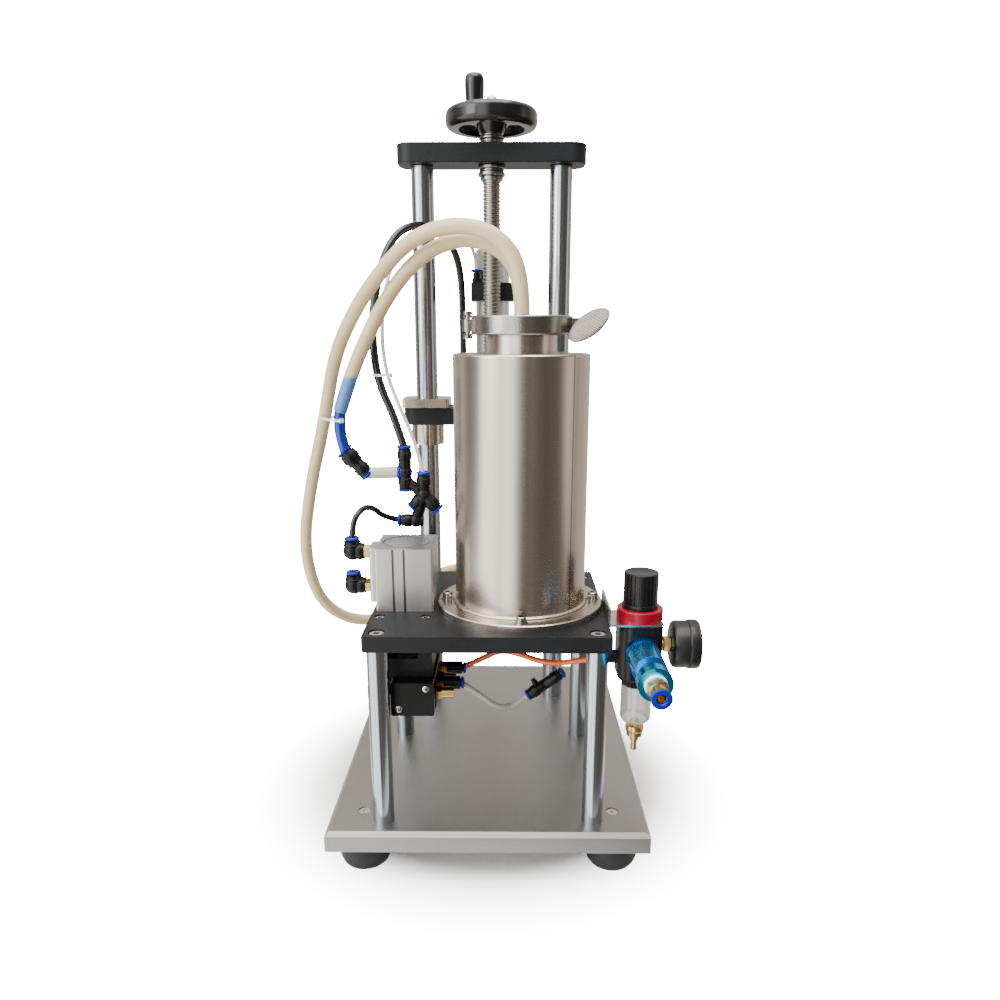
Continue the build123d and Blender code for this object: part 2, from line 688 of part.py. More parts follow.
def make_valve():
    left = valve_x - valve_width / 2
    bottom = valve_z - valve_height / 2
    middle = valve_length - 2 * valve_cap
    body = block(left, valve_front_y + valve_cap, bottom, valve_width, middle, valve_height)
    body = chamfer(body.edges().filter_by(Axis.Y), 1)
    spool_radius = 6
    mouth = (valve_x, valve_front_y + valve_cap, valve_z)
    body -= bar_along(mouth, (0, 1, 0), spool_radius + running, middle)
    save("valve_body", body)
    caps = []
    for y in (valve_front_y, valve_front_y + valve_length - valve_cap):
        cap = block(left + 0.5, y, bottom - 0.5, valve_width - 1, valve_cap, valve_height + 0.3)
        cap = fillet(cap.edges().filter_by(Axis.Y), 2)
        outer = y if y == valve_front_y else y + valve_cap
        way = 1 if y == valve_front_y else -1
        for sx, sz in ((-1, -1), (1, 1)):
            spot = (valve_x + sx * (valve_width / 2 - 8), outer, valve_z + sz * (valve_height / 2 - 6))
            cap -= bar_along(spot, (0, way, 0), 4, 3)
            caps.append(bar_along((spot[0], outer + way * 0.8, spot[2]), (0, way, 0), 3.4, 2.2))
        inner = y + valve_cap if y == valve_front_y else y
        cap -= bar_along((valve_x, inner, valve_z), (0, -way, 0), spool_radius + running, 7)
        caps.append(cap)
    save("valve_caps", caps)
    travel = 5
    start = valve_front_y + valve_cap - 6
    spool = bar_along((valve_x, start, valve_z), (0, 1, 0), spool_radius, middle + 12 - travel)
    save("valve_spool", spool)


# ---- filter regulator, gauge and inlet slide valve ----------------------------------
def make_regulator():
    x, y = regulator_x, regulator_y
    thick = 2
    plate_x = plate_width / 2
    bracket = block(plate_x, y - 22, regulator_top, x + 20 - plate_x, 44, thick)
    bracket = fillet(bracket.edges().filter_by(Axis.Z).sort_by(Axis.X)[-2:], 8)
    bracket += block(plate_x, y - 22, plate_bottom, thick, 60, plate_top + 14 - plate_bottom)
    bracket -= disc(x, y, regulator_top - 1, 15 + running, 4)
    save("regulator_bracket", bracket)

    bottom = regulator_top - regulator_height
    left = x - regulator_width / 2
    body = block(left, y - regulator_depth / 2, bottom, regulator_width, regulator_depth, regulator_height)
    body = fillet(body.edges().filter_by(Axis.Z), 12)
    body = fillet(body.faces().sort_by(Axis.Z)[0].edges(), 5)
    body += disc(x, y, regulator_top - 1, 15, thick + ring_height + 3)
    body += hex_along((x, y, bottom - 8), (0, 0, 1), 26, 9)
    body += bar_along((left + 2, y, outlet_port_z), (-1, 0, 0), 6.5, 14)
    body -= bar_along((left - 12, y, outlet_port_z), (1, 0, 0), black_radius + running, 9)
    save("regulator_body", body)

    ring_z = regulator_top + thick
    ring = disc(x, y, ring_z, ring_radius, ring_height)
    ring = fillet(ring.edges().sort_by(Axis.Z)[-1], 1.5)
    save("regulator_ring", ring - disc(x, y, ring_z, 15 + running, ring_height))

    knob_z = ring_z + ring_height + gap
    knob = disc(x, y, knob_z, knob_radius, knob_height)
    knob = fillet(knob.edges().sort_by(Axis.Z)[-1], 2)
    for i in range(24):
        angle = 2 * pi * i / 24
        knob -= disc(x + knob_radius * cos(angle), y + knob_radius * sin(angle), knob_z + 6, 0.9, knob_height)
    knob -= disc(x, y, knob_z, 15 + gap, 4)
    save("regulator_knob", knob)

    bowl_top = bottom - 8
    bowl = disc(x, y, bowl_top - bowl_height, bowl_radius, bowl_height)
    bowl = fillet(bowl.edges().sort_by(Axis.Z)[0], 6)
    bowl -= disc(x, y, bowl_top - bowl_height + 3, bowl_radius - 2.5, bowl_height)
    save("filter_bowl", bowl)
    drain_top = bowl_top - bowl_height
    drain = disc(x, y, drain_top - 6, 9, 6 - gap) + disc(x, y, drain_top - 12, 5, 6)
    drain += disc(x, y, drain_top - 32, 2.5, 20)
    save("drain_valve", drain - disc(x, y, drain_top - 32, 1.2, 20))

    stem_x = x + regulator_width / 2
    case_x = stem_x + 10
    case = bar_along((case_x, y, gauge_z), (1, 0, 0), gauge_radius, gauge_depth)
    case += bar_along((case_x + gauge_depth - 8, y, gauge_z), (1, 0, 0), gauge_radius + 1, 8)
    case -= bar_along((case_x + gauge_depth - 6, y, gauge_z), (1, 0, 0), gauge_radius - 2, 6)
    case += hex_along((stem_x, y, gauge_z), (1, 0, 0), 13, case_x - stem_x)
    case += bar_along((case_x + gauge_depth - 7, y, gauge_z), (1, 0, 0), 1, 4)
    save("gauge", case)
    face_x = case_x + gauge_depth - 6
    needle = bar_along((face_x + 1, y, gauge_z), (1, 0, 0), 2.4, 1.2)
    needle += Pos(face_x + 1.6, y, gauge_z + 5) * Box(0.8, 1.6, 20)
    save("gauge_needle", needle - bar_along((face_x - 1, y, gauge_z), (1, 0, 0), 1 + running, 6))

    front = y - regulator_depth / 2
    start = (x, front, gauge_z)
    slide = bar_along(start, (0, -1, 0), slide_body_radius, slide_length)
    slide += bar_along((x, front - slide_length + 12, gauge_z), (0, -1, 0), sleeve_radius, 12)
    slide += bar_along(start, (0, -1, 0), sleeve_radius, 8)
    save("slide_valve", slide)
    sleeve_start = (x, front - 8 - gap - sleeve_travel, gauge_z)
    sleeve = bar_along(sleeve_start, (0, -1, 0), sleeve_radius, sleeve_length)
    sleeve = fillet(sleeve.edges(), 1.5)
    sleeve -= bar_along((x, front, gauge_z), (0, -1, 0), slide_body_radius + running, slide_length)
    save("slide_sleeve", sleeve)

    inlet_y = front - slide_length
    inlet = bar_along((x, inlet_y, gauge_z), (0, -1, 0), 9, 5)
    inlet += hex_along((x, inlet_y - 5, gauge_z), (0, -1, 0), 17, 9)
    inlet += bar_along((x, inlet_y - 14, gauge_z), (0, -1, 0), 8, 9)
    inlet += bar_along((x, inlet_y - 23, gauge_z), (0, -1, 0), 7.4, 2.5)
    inlet -= bar_along((x, inlet_y - 25.5, gauge_z), (0, 1, 0), inlet_tube_radius + running, 18)
    save("inlet_fitting", inlet)


outlet_port_z = regulator_top - 38
gauge_z = regulator_top - 25


# ---- push-in fittings that hang on the tubes ------------------------------------------
cluster_y = -30
reducer_start = (-148, cluster_y, 332)
reducer_end = (-128, cluster_y, 311)
tee_side = (-91, cluster_y, 312)
tee_top = (-88, cluster_y, 336)
cross_top = (-69, cluster_y, 309)
lower_left = (-93, cluster_y, 261)
inline_start = (42, -100, 96)
inline_end = (72, -100, 118)


def make_cluster():
    pieces = []
    start = Vector(*reducer_start)
    end = Vector(*reducer_end)
    way = (end - start).normalized()
    half = (end - start).length / 2
    reducer = bar_along(tuple(start), tuple(way), 9.5, half)
    pieces.append(reducer + bar_along(tuple(start + way * half), tuple(way), 8, half))

    hub = Vector(tee_top[0], cluster_y, tee_side[2])
    tee = bar_along(tuple(hub), (0, 0, 1), 7.5, tee_top[2] - hub.Z)
    tee += bar_along(tuple(hub), (0, 0, -1), 7.5, 16)
    tee += bar_along(tee_side, (1, 0, 0), 8, hub.X - tee_side[0] + 2)
    centre = Vector(cross_top[0], cluster_y, cross_top[2] - 20)
    cross = bar_along(cross_top, (0, 0, -1), 7.5, 20)
    cross += Pos(*centre) * Sphere(8)
    spread = Vector(sin(radians(40)), 0, cos(radians(40)))
    cross += bar_along(tuple(centre), (spread.X, 0, -spread.Z), 7.5, 19)
    cross += bar_along(tuple(centre), (-spread.X, 0, -spread.Z), 7, 16)
    bridge = hub - Vector(0, 0, 8)
    to_cross = centre - bridge
    tee += bar_along(tuple(bridge), tuple(to_cross.normalized()), 6, to_cross.length)
    low_hub = Vector(cross_top[0] - 9, cluster_y, lower_left[2])
    cross += bar_along(lower_left, (1, 0, 0), 7, low_hub.X - lower_left[0] + 8)
    reach = centre - low_hub
    cross += bar_along(tuple(low_hub), tuple(reach.normalized()), 7, reach.length)
    pieces.append(tee + cross)
    link = Vector(*tee_side) - end
    pieces.append(bar_along(tuple(end), tuple(link.normalized()), hose_radius - 1, link.length))

    begin = Vector(*inline_start)
    run = Vector(*inline_end) - begin
    inline = bar_along(tuple(begin), tuple(run.normalized()), 6.5, run.length)
    inline += bar_along(tuple(begin + run * 0.3), (-run.normalized().Z, 0, run.normalized().X), 3, 12)
    inline -= bar_along(tuple(begin + run), tuple(run.normalized() * -1), black_radius + running, 9)
    pieces.append(inline)
    save("push_in_fittings", pieces)


# ---- hoses and tubes --------------------------------------------------------------------
def tube_along(name, points, radius):
    """Straight runs joined by tangent arcs, as large as the runs allow."""
    route = [Vector(*p) for p in points]
    radii = []
    for before, here, after in zip(route, route[1:], route[2:]):
        turn = radians((here - before).get_angle(after - here))
        shorter = min((here - before).length, (after - here).length)
        radii.append(0.45 * shorter / tan(turn / 2))
    if radii:
        path = FilletPolyline(*route, radius=radii)
    else:
        path = Line(*route)
    section = Plane(origin=route[0], z_dir=route[1] - route[0]) * Circle(radius)
    tube = sweep(section, path=path)
    tightest = min(radii) / (2 * radius) if radii else 0
    ratio = tube.volume / (pi * radius**2 * path.length)
    print(f"{name}: length {path.length:.0f} mm, tightest {tightest:.1f} diameters, volume ratio {ratio:.4f}")
    print("   radii", [round(r) for r in radii])
    save(name, tube)


def make_tubes():
    hose_start = (tank_x, barb_places[0], barb_top)
    hose_end = (-outlet_size / 2 - 6, head_y, outlet_bottom + outlet_thick / 2)
    tube_along("product_hose", [
        hose_start, (tank_x, barb_places[0], 506), (9, -107, 535), (-28, -98, 545),
        (-68, -83, 535), (-102, -65, 506), (-132, -46, 470), (-157, -25, 427),
        (-175, 0, 363), (-203, 30, 282), (-222, 60, 202), (-214, 90, 129),
        (-177, 120, 92), (-130, 148, 92), (-92, 155, 130), (-62, head_y, hose_end[2]), hose_end,
    ], hose_radius)
    vacuum_end = (-151, -36, 375)
    tube_along("vacuum_hose", [
        (tank_x, barb_places[1], barb_top), (tank_x, barb_places[1], 500), (12, -80, 526),
        (-22, -78, 536), (-60, -71, 523), (-93, -60, 490), (-120, -49, 446), (-141, -40, 403),
        vacuum_end,
    ], hose_radius)
    tube_along("blue_tube", [vacuum_end, (-155, -33, 352), reducer_start], vacuum_tube_radius)
    drive_top_port = (drive_port_x, head_y, drive_port_z + elbow_rise + elbow_lip - tube_seat)
    tube_along("black_tube", [
        tee_top, (-96, -30, 366), (-112, -30, 402), (-117, -27, 441), (-117, -16, 478),
        (-107, 0, 528), (-90, 20, 556), (-64, 55, 562), (-42, 95, 545), (-36, 130, 515),
        (-36, 152, 475), (drive_port_x, head_y, 430), drive_top_port,
    ], drive_tube_radius)
    px, py = block_port
    tube_along("clear_tube", [
        cross_top, (-76, -30, 342), (-92, -31, 380), (-104, -35, 415), (-107, -33, 455),
        (-102, -20, 505), (-85, 5, 545), (-58, 48, 567), (-32, 96, 568), (px - 2, 128, 549), (px, py, 527),
        (px, py, port_block_bottom + port_block_thick + 4),
    ], clear_radius)
    tube_along("black_link_tube", [
        lower_left, (-110, -38, 266), (-118, -56, 280), (-126, -74, 284), (elbow_x, port_y, 271),
        (elbow_x, port_y, upper_port_z + elbow_rise + elbow_lip - tube_seat),
    ], black_radius)
    signal_start = (supply_port[0], valve_port_y, valve_z)
    tube_along("signal_tube", [
        signal_start, (-12, valve_port_y, 108), (8, -116, 88), (26, -103, 84), inline_start,
    ], black_radius)
    regulator_port = (regulator_x - regulator_width / 2 - 12, regulator_y, outlet_port_z)
    tube_along("supply_tube", [
        regulator_port, (88, -124, 142), (58, -100, 128), (15, -86, 140), (-8, -86, 128), supply_port,
    ], black_radius)


make_base()
make_frame()
make_mid_plate()
make_spindle()
make_crosshead()
make_head()
make_tank()
make_clamp()
make_pinch()
make_valve()
make_regulator()
make_cluster()
make_tubes()

os.makedirs("parts", exist_ok=True)
for name, shape in parts.items():
    export_step(shape, f"parts/{name}.step")
print(len(parts), "nodes")
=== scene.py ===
import math

import bmesh
import bpy
from mathutils import Matrix, Vector


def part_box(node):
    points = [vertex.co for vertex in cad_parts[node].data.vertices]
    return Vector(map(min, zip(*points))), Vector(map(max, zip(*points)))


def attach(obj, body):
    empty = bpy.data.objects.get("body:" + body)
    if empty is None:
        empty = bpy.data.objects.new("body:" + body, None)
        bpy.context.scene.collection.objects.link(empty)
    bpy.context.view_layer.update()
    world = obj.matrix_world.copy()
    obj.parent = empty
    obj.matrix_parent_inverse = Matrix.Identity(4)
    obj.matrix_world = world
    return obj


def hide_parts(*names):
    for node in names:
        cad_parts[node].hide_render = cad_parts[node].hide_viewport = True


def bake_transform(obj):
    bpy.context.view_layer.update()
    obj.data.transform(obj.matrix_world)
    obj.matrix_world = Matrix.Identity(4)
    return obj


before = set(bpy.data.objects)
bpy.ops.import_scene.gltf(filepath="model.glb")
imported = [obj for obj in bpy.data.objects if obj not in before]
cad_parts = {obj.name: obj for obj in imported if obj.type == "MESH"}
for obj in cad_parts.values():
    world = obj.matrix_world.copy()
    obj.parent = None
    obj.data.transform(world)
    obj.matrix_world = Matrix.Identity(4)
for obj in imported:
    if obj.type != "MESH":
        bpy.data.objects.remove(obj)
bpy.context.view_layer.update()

# ---- Camera, floor and light -------------------------------------------------
# The bench machine is seen from its service side, a little above the tank's middle.
# It stands on a plain pale floor under two soft boxes, in a bright room with a window each side.
camera_data = bpy.data.cameras.new("camera")
camera_data.sensor_width = 36
camera_data.lens = 29.11
camera_data.shift_y = 0.05
camera = bpy.data.objects.new("camera", camera_data)
camera.location = (0.0176, -0.8593, 0.451)
camera.rotation_euler = (math.radians(75), 0, math.radians(0.5))
bpy.context.collection.objects.link(camera)
bpy.context.scene.camera = camera
floor_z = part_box("rubber_feet")[0].z


def middle_of(node, axis):
    """The middle of a CAD node's box along one axis."""
    low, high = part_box(node)
    return (low[axis] + high[axis]) / 2


def added(make, **settings):
    """A primitive mesh, made with nothing else selected."""
    bpy.ops.object.select_all(action="DESELECT")
    make(**settings)
    return bpy.context.object


def pick(*pieces):
    """Select only these pieces, the first one active."""
    bpy.ops.object.select_all(action="DESELECT")
    for piece in pieces:
        piece.select_set(True)
    bpy.context.view_layer.objects.active = pieces[0]


class Value:
    """A shader socket that plain arithmetic works on; each operator adds its Math node."""

    def __init__(self, finish, socket):
        self.finish = finish
        self.socket = socket

    def math(self, operation, *others):
        inputs = {i: v for i, v in enumerate((self, *others))}
        return self.finish.node("ShaderNodeMath", {"operation": operation}, inputs)["Value"]

    def __add__(self, other):
        return self.math("ADD", other)

    def __mul__(self, other):
        return self.math("MULTIPLY", other)

    def __sub__(self, other):
        return self.math("SUBTRACT", other)

    def __gt__(self, other):
        return self.math("GREATER_THAN", other)

    def __lt__(self, other):
        return self.math("LESS_THAN", other)

    def clamp(self):
        """The value held between 0 and 1."""
        held = self * 1
        held.socket.node.use_clamp = True
        return held

    def rising(self, low, high):
        """A smooth step from 0 to 1 as the value goes from low to high."""
        inputs = {"Value": self, "From Min": low, "From Max": high}
        return self.finish.node("ShaderNodeMapRange", {"interpolation_type": "SMOOTHSTEP"}, inputs)["Result"]

    def near(self, middle, reach):
        """1 where the value is within reach of a middle value, else 0."""
        return (self - middle).math("ABSOLUTE") < reach


class Made:
    """A shader node, whose outputs are read by name."""

    def __init__(self, finish, node):
        self.finish = finish
        self.node = node

    def __getitem__(self, name):
        return Value(self.finish, self.node.outputs[name])


class Finish:
    """One material or world tree; node() adds every node in it."""

    def __init__(self, name, owner=None):
        self.owner = owner or bpy.data.materials.new(name)
        self.owner.use_nodes = True
        self.tree = self.owner.node_tree
        self.tree.nodes.clear()
        self.place = None

    def node(self, kind, settings=None, inputs=None):
        made = self.tree.nodes.new(kind)
        for name, value in (settings or {}).items():
            setattr(made, name, value)
        for name, value in (inputs or {}).items():
            if isinstance(value, Value):
                self.tree.links.new(value.socket, made.inputs[name])
            elif isinstance(value, tuple) and len(value) == 3 and made.inputs[name].type == "RGBA":
                made.inputs[name].default_value = (*value, 1)
            else:
                made.inputs[name].default_value = value
        return Made(self, made)

    def at(self):
        """The point on the piece, in metres."""
        if self.place is None:
            self.place = self.node("ShaderNodeTexCoord")["Object"]
        return self.place

    def spot(self):
        """The same point by its X, Y and Z."""
        return self.node("ShaderNodeSeparateXYZ", {}, {"Vector": self.at()})

    def stretched(self, scale):
        """The point on the piece, scaled by three factors."""
        return self.node("ShaderNodeMapping", {}, {"Vector": self.at(), "Scale": scale})["Vector"]

    def noise(self, scale, detail=3, stretch=None, roughness=0.55):
        where = self.stretched(stretch) if stretch else self.at()
        inputs = {"Vector": where, "Scale": scale, "Detail": detail, "Roughness": roughness}
        return self.node("ShaderNodeTexNoise", {}, inputs)["Fac"]

    def mixed(self, mask, first, second):
        """A colour between two colours; the colour sockets of the Mix node are reached by number."""
        made = self.node("ShaderNodeMix", {"data_type": "RGBA"})
        for spot, value in ((0, mask), (6, first), (7, second)):
            socket = made.node.inputs[spot]
            if isinstance(value, Value):
                self.tree.links.new(value.socket, socket)
            elif spot == 0:
                socket.default_value = value
            else:
                socket.default_value = (*value, 1)
        return Value(self, made.node.outputs[2])

    def bump(self, height, strength, distance=0.001):
        inputs = {"Height": height, "Strength": strength, "Distance": distance}
        return self.node("ShaderNodeBump", {}, inputs)["Normal"]

    def ends(self, **inputs):
        """Closes the material with one Principled shader."""
        named = {name.replace("_", " "): value for name, value in inputs.items()}
        shader = self.node("ShaderNodeBsdfPrincipled", {}, named)["BSDF"]
        self.node("ShaderNodeOutputMaterial", {}, {"Surface": shader})
        return self.owner


room = bpy.data.worlds.new("room")
bpy.context.scene.world = room
room_light = Finish("room", room)
way_parts = room_light.node("ShaderNodeSeparateXYZ", {}, {
    "Vector": room_light.node("ShaderNodeTexCoord")["Generated"]})
to_right = way_parts["X"]
to_back = way_parts["Y"]
to_top = way_parts["Z"]
in_front = to_back.rising(0.25, -0.05)
left_window = to_right.rising(-0.04, -0.30) * to_right.rising(-0.99, -0.90) * in_front
right_window = to_right.rising(0.93, 0.985) * in_front
pale_wall = to_back.rising(0.05, 0.5)
ceiling = to_top.rising(0.5, 0.85)
right_strip = to_right.rising(0.24, 0.30) * to_right.rising(0.40, 0.34) * in_front
left_mullion = to_right.rising(-0.66, -0.62) * to_right.rising(-0.50, -0.54) * in_front
window_strength = left_window * (left_mullion * -1.5 + 3.6) + right_strip * 0.16 + right_window * 1.2
strength = window_strength + pale_wall * 0.75 + ceiling * 1.4 + 0.17
warm = room_light.mixed(left_window, (1.0, 0.9, 0.8), (1.0, 0.98, 0.94))
lit = room_light.node("ShaderNodeBackground", {}, {"Color": warm, "Strength": strength})["Background"]
backdrop = room_light.node("ShaderNodeBackground", {}, {"Color": (1, 1, 1), "Strength": 30.0})["Background"]
seen = room_light.node("ShaderNodeLightPath")["Is Camera Ray"]
shown = room_light.node("ShaderNodeMixShader", {}, {0: seen, 1: lit, 2: backdrop})["Shader"]
room_light.node("ShaderNodeOutputWorld", {}, {"Surface": shown})


def soft_box(name, place, aim, width, depth, watts):
    """A wide area light that faces a point."""
    data = bpy.data.lights.new(name, "AREA")
    data.shape = "RECTANGLE"
    data.size = width
    data.size_y = depth
    data.energy = watts
    lamp = bpy.data.objects.new(name, data)
    lamp.location = place
    lamp.rotation_euler = (Vector(aim) - Vector(place)).to_track_quat("-Z", "Y").to_euler()
    bpy.context.collection.objects.link(lamp)


soft_box("overhead_box", (0.1, -0.4, 2.2), (0, 0, 0.1), 1.6, 1.6, 60)
soft_box("left_box", (-1.6, -1.2, 1.2), (0, 0, 0.3), 0.8, 1.6, 24)

floor = added(
    bpy.ops.mesh.primitive_circle_add, vertices=96, radius=3, fill_type="NGON",
    location=(0, 0, floor_z - 0.0005))
floor.name = "floor"
floor_look = Finish("pale_floor")
floor_reach = floor_look.node("ShaderNodeVectorMath", {"operation": "LENGTH"}, {0: floor_look.at()})["Value"]
floor_edge = floor_reach.rising(0.37, 0.17)
floor_shade = floor_look.noise(3.0) * 0.02 + 0.6
floor.data.materials.append(floor_look.ends(
    Base_Color=(0.95, 0.95, 0.95), Roughness=floor_shade, Alpha=floor_edge))


def metal(name, dark, light, rough, grain=500, stretch=None, depth=0.08, spread=0.1):
    """A bare metal whose tone and gloss vary with its grain and with handling."""
    finish = Finish(name)
    fine = finish.noise(grain, 4, stretch)
    handled = finish.noise(11, 3)
    tone = finish.mixed(fine * 0.5 + handled * 0.5, dark, light)
    gloss = fine * spread + handled * spread + (rough - spread)
    return finish.ends(Base_Color=tone, Metallic=1.0, Roughness=gloss, Normal=finish.bump(fine, depth, 0.0003))


def moulded(name, dark, light, rough, grain=700, depth=0.12, coat=0.0, sheen=0.3):
    """A moulded or painted surface with a fine texture."""
    finish = Finish(name)
    fine = finish.noise(grain, 3)
    handled = finish.noise(14, 3)
    tone = finish.mixed(handled, dark, light)
    gloss = handled * 0.12 + fine * 0.08 + (rough - 0.1)
    return finish.ends(
        Base_Color=tone, Roughness=gloss, Coat_Weight=coat, Specular_IOR_Level=sheen,
        Normal=finish.bump(fine, depth, 0.0002))


def coat(finish, *nodes):
    """Gives CAD nodes their finish."""
    for node in nodes:
        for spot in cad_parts[node].material_slots:
            spot.material = finish


# ---- Base plate, feet and posts ---------------------------------------------------
# A 20 mm aluminium plate, clear anodised, on four rubber feet held by screws from above.
# Ground and chromed bars stand in it: four short posts for the table and two tall columns.
anodised = metal("clear_anodised", (0.25, 0.255, 0.25), (0.33, 0.335, 0.33), 0.38, 1500, None, 0.15)
rubber = moulded("black_rubber", (0.006, 0.006, 0.007), (0.018, 0.018, 0.02), 0.6, 500, 0.3)
bright_steel = metal("bright_steel", (0.5, 0.49, 0.46), (0.68, 0.66, 0.62), 0.24, 900)
ground_shaft = metal("ground_shaft", (0.34, 0.37, 0.41), (0.44, 0.47, 0.51), 0.17, 90, (1, 1, 26), 0.05, 0.05)
coat(anodised, "base_plate")
coat(bright_steel, "foot_screws", "frame_screws")
coat(ground_shaft, "support_posts", "columns")

# ---- Table, bracket and top bar ----------------------------------------------------
# Black anodised aluminium: the table that the tank stands on, the U-shaped bracket under it
# and the bar that ties the column tops. Their surface is finely speckled and a little worn.
black_anodised = Finish("black_anodised")
black_speck = black_anodised.noise(1300, 2)
black_worn = black_anodised.noise(16, 4)
black_tone = black_anodised.mixed(
    (black_speck > 0.62) * 0.35 + black_worn * 0.4, (0.003, 0.0035, 0.0045), (0.022, 0.024, 0.028))
black_anodised = black_anodised.ends(
    Base_Color=black_tone, Roughness=black_speck * 0.12 + black_worn * 0.14 + 0.32, Specular_IOR_Level=0.22,
    Normal=black_anodised.bump(black_speck, 0.12, 0.0002))
coat(black_anodised, "mid_plate", "u_bracket", "top_bar")
coat(bright_steel, "plate_screws")


def profile(name, outline):
    """An outline of (radius, height) pairs as edges, ready to be spun."""
    mesh = bpy.data.meshes.new(name)
    mesh.from_pydata([(r, 0, h) for r, h in outline], [(i, i + 1) for i in range(len(outline) - 1)], [])
    piece = bpy.data.objects.new(name, mesh)
    bpy.context.collection.objects.link(piece)
    pick(piece)
    return piece


def smoothed(piece, degrees):
    """Smooth shading, with the edges sharper than an angle kept."""
    pick(piece)
    bpy.ops.object.shade_smooth_by_angle(angle=math.radians(degrees))


def turned(name, outline, foot, way=(0, 0, 1), steps=48, soften=0.0):
    """A turned piece: (radius, height) pairs spun round an axis, with its edges broken."""
    piece = profile(name, outline)
    bpy.ops.object.mode_set(mode="EDIT")
    bpy.ops.mesh.select_all(action="SELECT")
    bpy.ops.mesh.spin(steps=steps, angle=2 * math.pi, center=(0, 0, 0), axis=(0, 0, 1))
    bpy.ops.mesh.select_all(action="SELECT")
    bpy.ops.mesh.remove_doubles(threshold=2e-6)
    bpy.ops.mesh.normals_make_consistent(inside=False)
    if soften:
        bpy.ops.mesh.select_mode(type="EDGE")
        bpy.ops.mesh.select_all(action="DESELECT")
        bpy.ops.mesh.edges_select_sharp(sharpness=math.radians(35))
        bpy.ops.mesh.bevel(offset=soften, segments=2, affect="EDGES")
    bpy.ops.object.mode_set(mode="OBJECT")
    turn = Vector(way).to_track_quat("Z", "Y").to_matrix().to_4x4()
    piece.data.transform(Matrix.Translation(foot) @ turn)
    smoothed(piece, 35)
    return piece


def joined(name, pieces):
    """Several meshes as one piece."""
    pick(*pieces)
    if len(pieces) > 1:
        bpy.ops.object.join()
    whole = bpy.context.object
    whole.name = name
    return whole


def fitted(piece, finish, body, slot, *nodes):
    """Finishes a piece, fixes it to its body and hides the CAD nodes it stands for."""
    piece.data.materials.clear()
    piece.data.materials.append(finish)
    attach(piece, body)
    if nodes:
        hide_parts(*nodes)
    return piece


foot_tall = 0.034
foot_outline = [
    (0.0031, 0.012), (0.008, 0.012), (0.008, 0), (0.0165, 0), (0.0190, 0.0006), (0.0210, 0.0020),
    (0.0232, 0.0052), (0.0250, 0.0100), (0.0262, 0.0165), (0.0266, 0.0240), (0.0266, foot_tall - 0.0012),
    (0.0262, foot_tall - 0.0002), (0.0258, foot_tall), (0.0031, foot_tall), (0.0031, 0.012)]
foot_x = 0.121
foot_y = 0.161
foot_places = [(x, y, floor_z) for x in (-foot_x, foot_x) for y in (-foot_y, foot_y)]
feet = [turned("foot", foot_outline, place, steps=64) for place in foot_places]
fitted(joined("moulded_feet", feet), rubber, "root", "rubber", "rubber_feet")

# ---- Lead screw and thrust washers -----------------------------------------------------
# A 20 mm steel screw with a 4 mm rolled trapezoidal thread hangs in the top bar.
# Collars and washers under and over the bar carry its load.
screw_axis = (0, 0.108)
screw_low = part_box("lead_screw")[0].z
screw_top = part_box("lead_screw")[1].z
bar_low, bar_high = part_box("top_bar")
thread_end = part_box("thrust_washers")[0].z + 0.001
pitch = 0.004
root_radius = 0.0088
crest_radius = 0.01
turns = int((thread_end - screw_low - 0.004) / pitch)
thread_low = thread_end - turns * pitch
thread = profile("lead_screw_thread", [
    (root_radius, 0), (root_radius, 0.0011), (crest_radius, 0.0017), (crest_radius, 0.0029),
    (root_radius, pitch)])
winding = thread.modifiers.new("winding", "SCREW")
winding.screw_offset = pitch
winding.iterations = turns
winding.steps = 28
winding.render_steps = 28
winding.use_merge_vertices = True
winding.merge_threshold = 1e-5
bpy.ops.object.modifier_apply(modifier="winding")
thread.data.transform(Matrix.Translation((*screw_axis, thread_low)))
bpy.ops.object.mode_set(mode="EDIT")
bpy.ops.mesh.select_all(action="SELECT")
bpy.ops.mesh.normals_make_consistent(inside=False)
bpy.ops.object.mode_set(mode="OBJECT")
smoothed(thread, 30)
core_radius = 0.0084
journal_radius = 0.007
first_turn = thread_low - screw_low
last_turn = thread_end - screw_low
bar_height = bar_low.z - screw_low
core_tall = screw_top - screw_low
core = turned("lead_screw_core", [
    (0, 0), (0.0065, 0), (0.0086, 0.002), (0.0086, first_turn + 0.003), (core_radius, first_turn + 0.004),
    (core_radius, last_turn - 0.004), (crest_radius, last_turn - 0.003), (crest_radius, bar_height),
    (journal_radius, bar_height), (journal_radius, core_tall), (0, core_tall),
], (*screw_axis, screw_low))
screw_steel = metal("rolled_screw_steel", (0.26, 0.235, 0.20), (0.44, 0.40, 0.35), 0.34, 500, (1, 1, 8), 0.1)
fitted(joined("lead_screw_rolled", [thread, core]), screw_steel, "spindle", "steel", "lead_screw")
coat(bright_steel, "wheel_hardware")
dark_steel = metal("dark_steel_rings", (0.20, 0.20, 0.20), (0.34, 0.34, 0.34), 0.26, 700)


def ring_stack(name, inner, low, rings):
    """Washers and collars on one axis: (outer radius, thickness) from the bottom, grooves between."""
    outline = []
    height = low
    for outer, thick in rings:
        outline += [(inner, height), (outer - 0.0006, height), (outer, height + 0.0006),
                    (outer, height + thick - 0.0012), (outer - 0.0006, height + thick - 0.0006),
                    (outer - 0.0022, height + thick - 0.0005), (outer - 0.0022, height + thick)]
        height += thick
    outline += [(inner, height), (inner, low)]
    return turned(name, outline, (*screw_axis, 0), (0, 0, 1), 64)


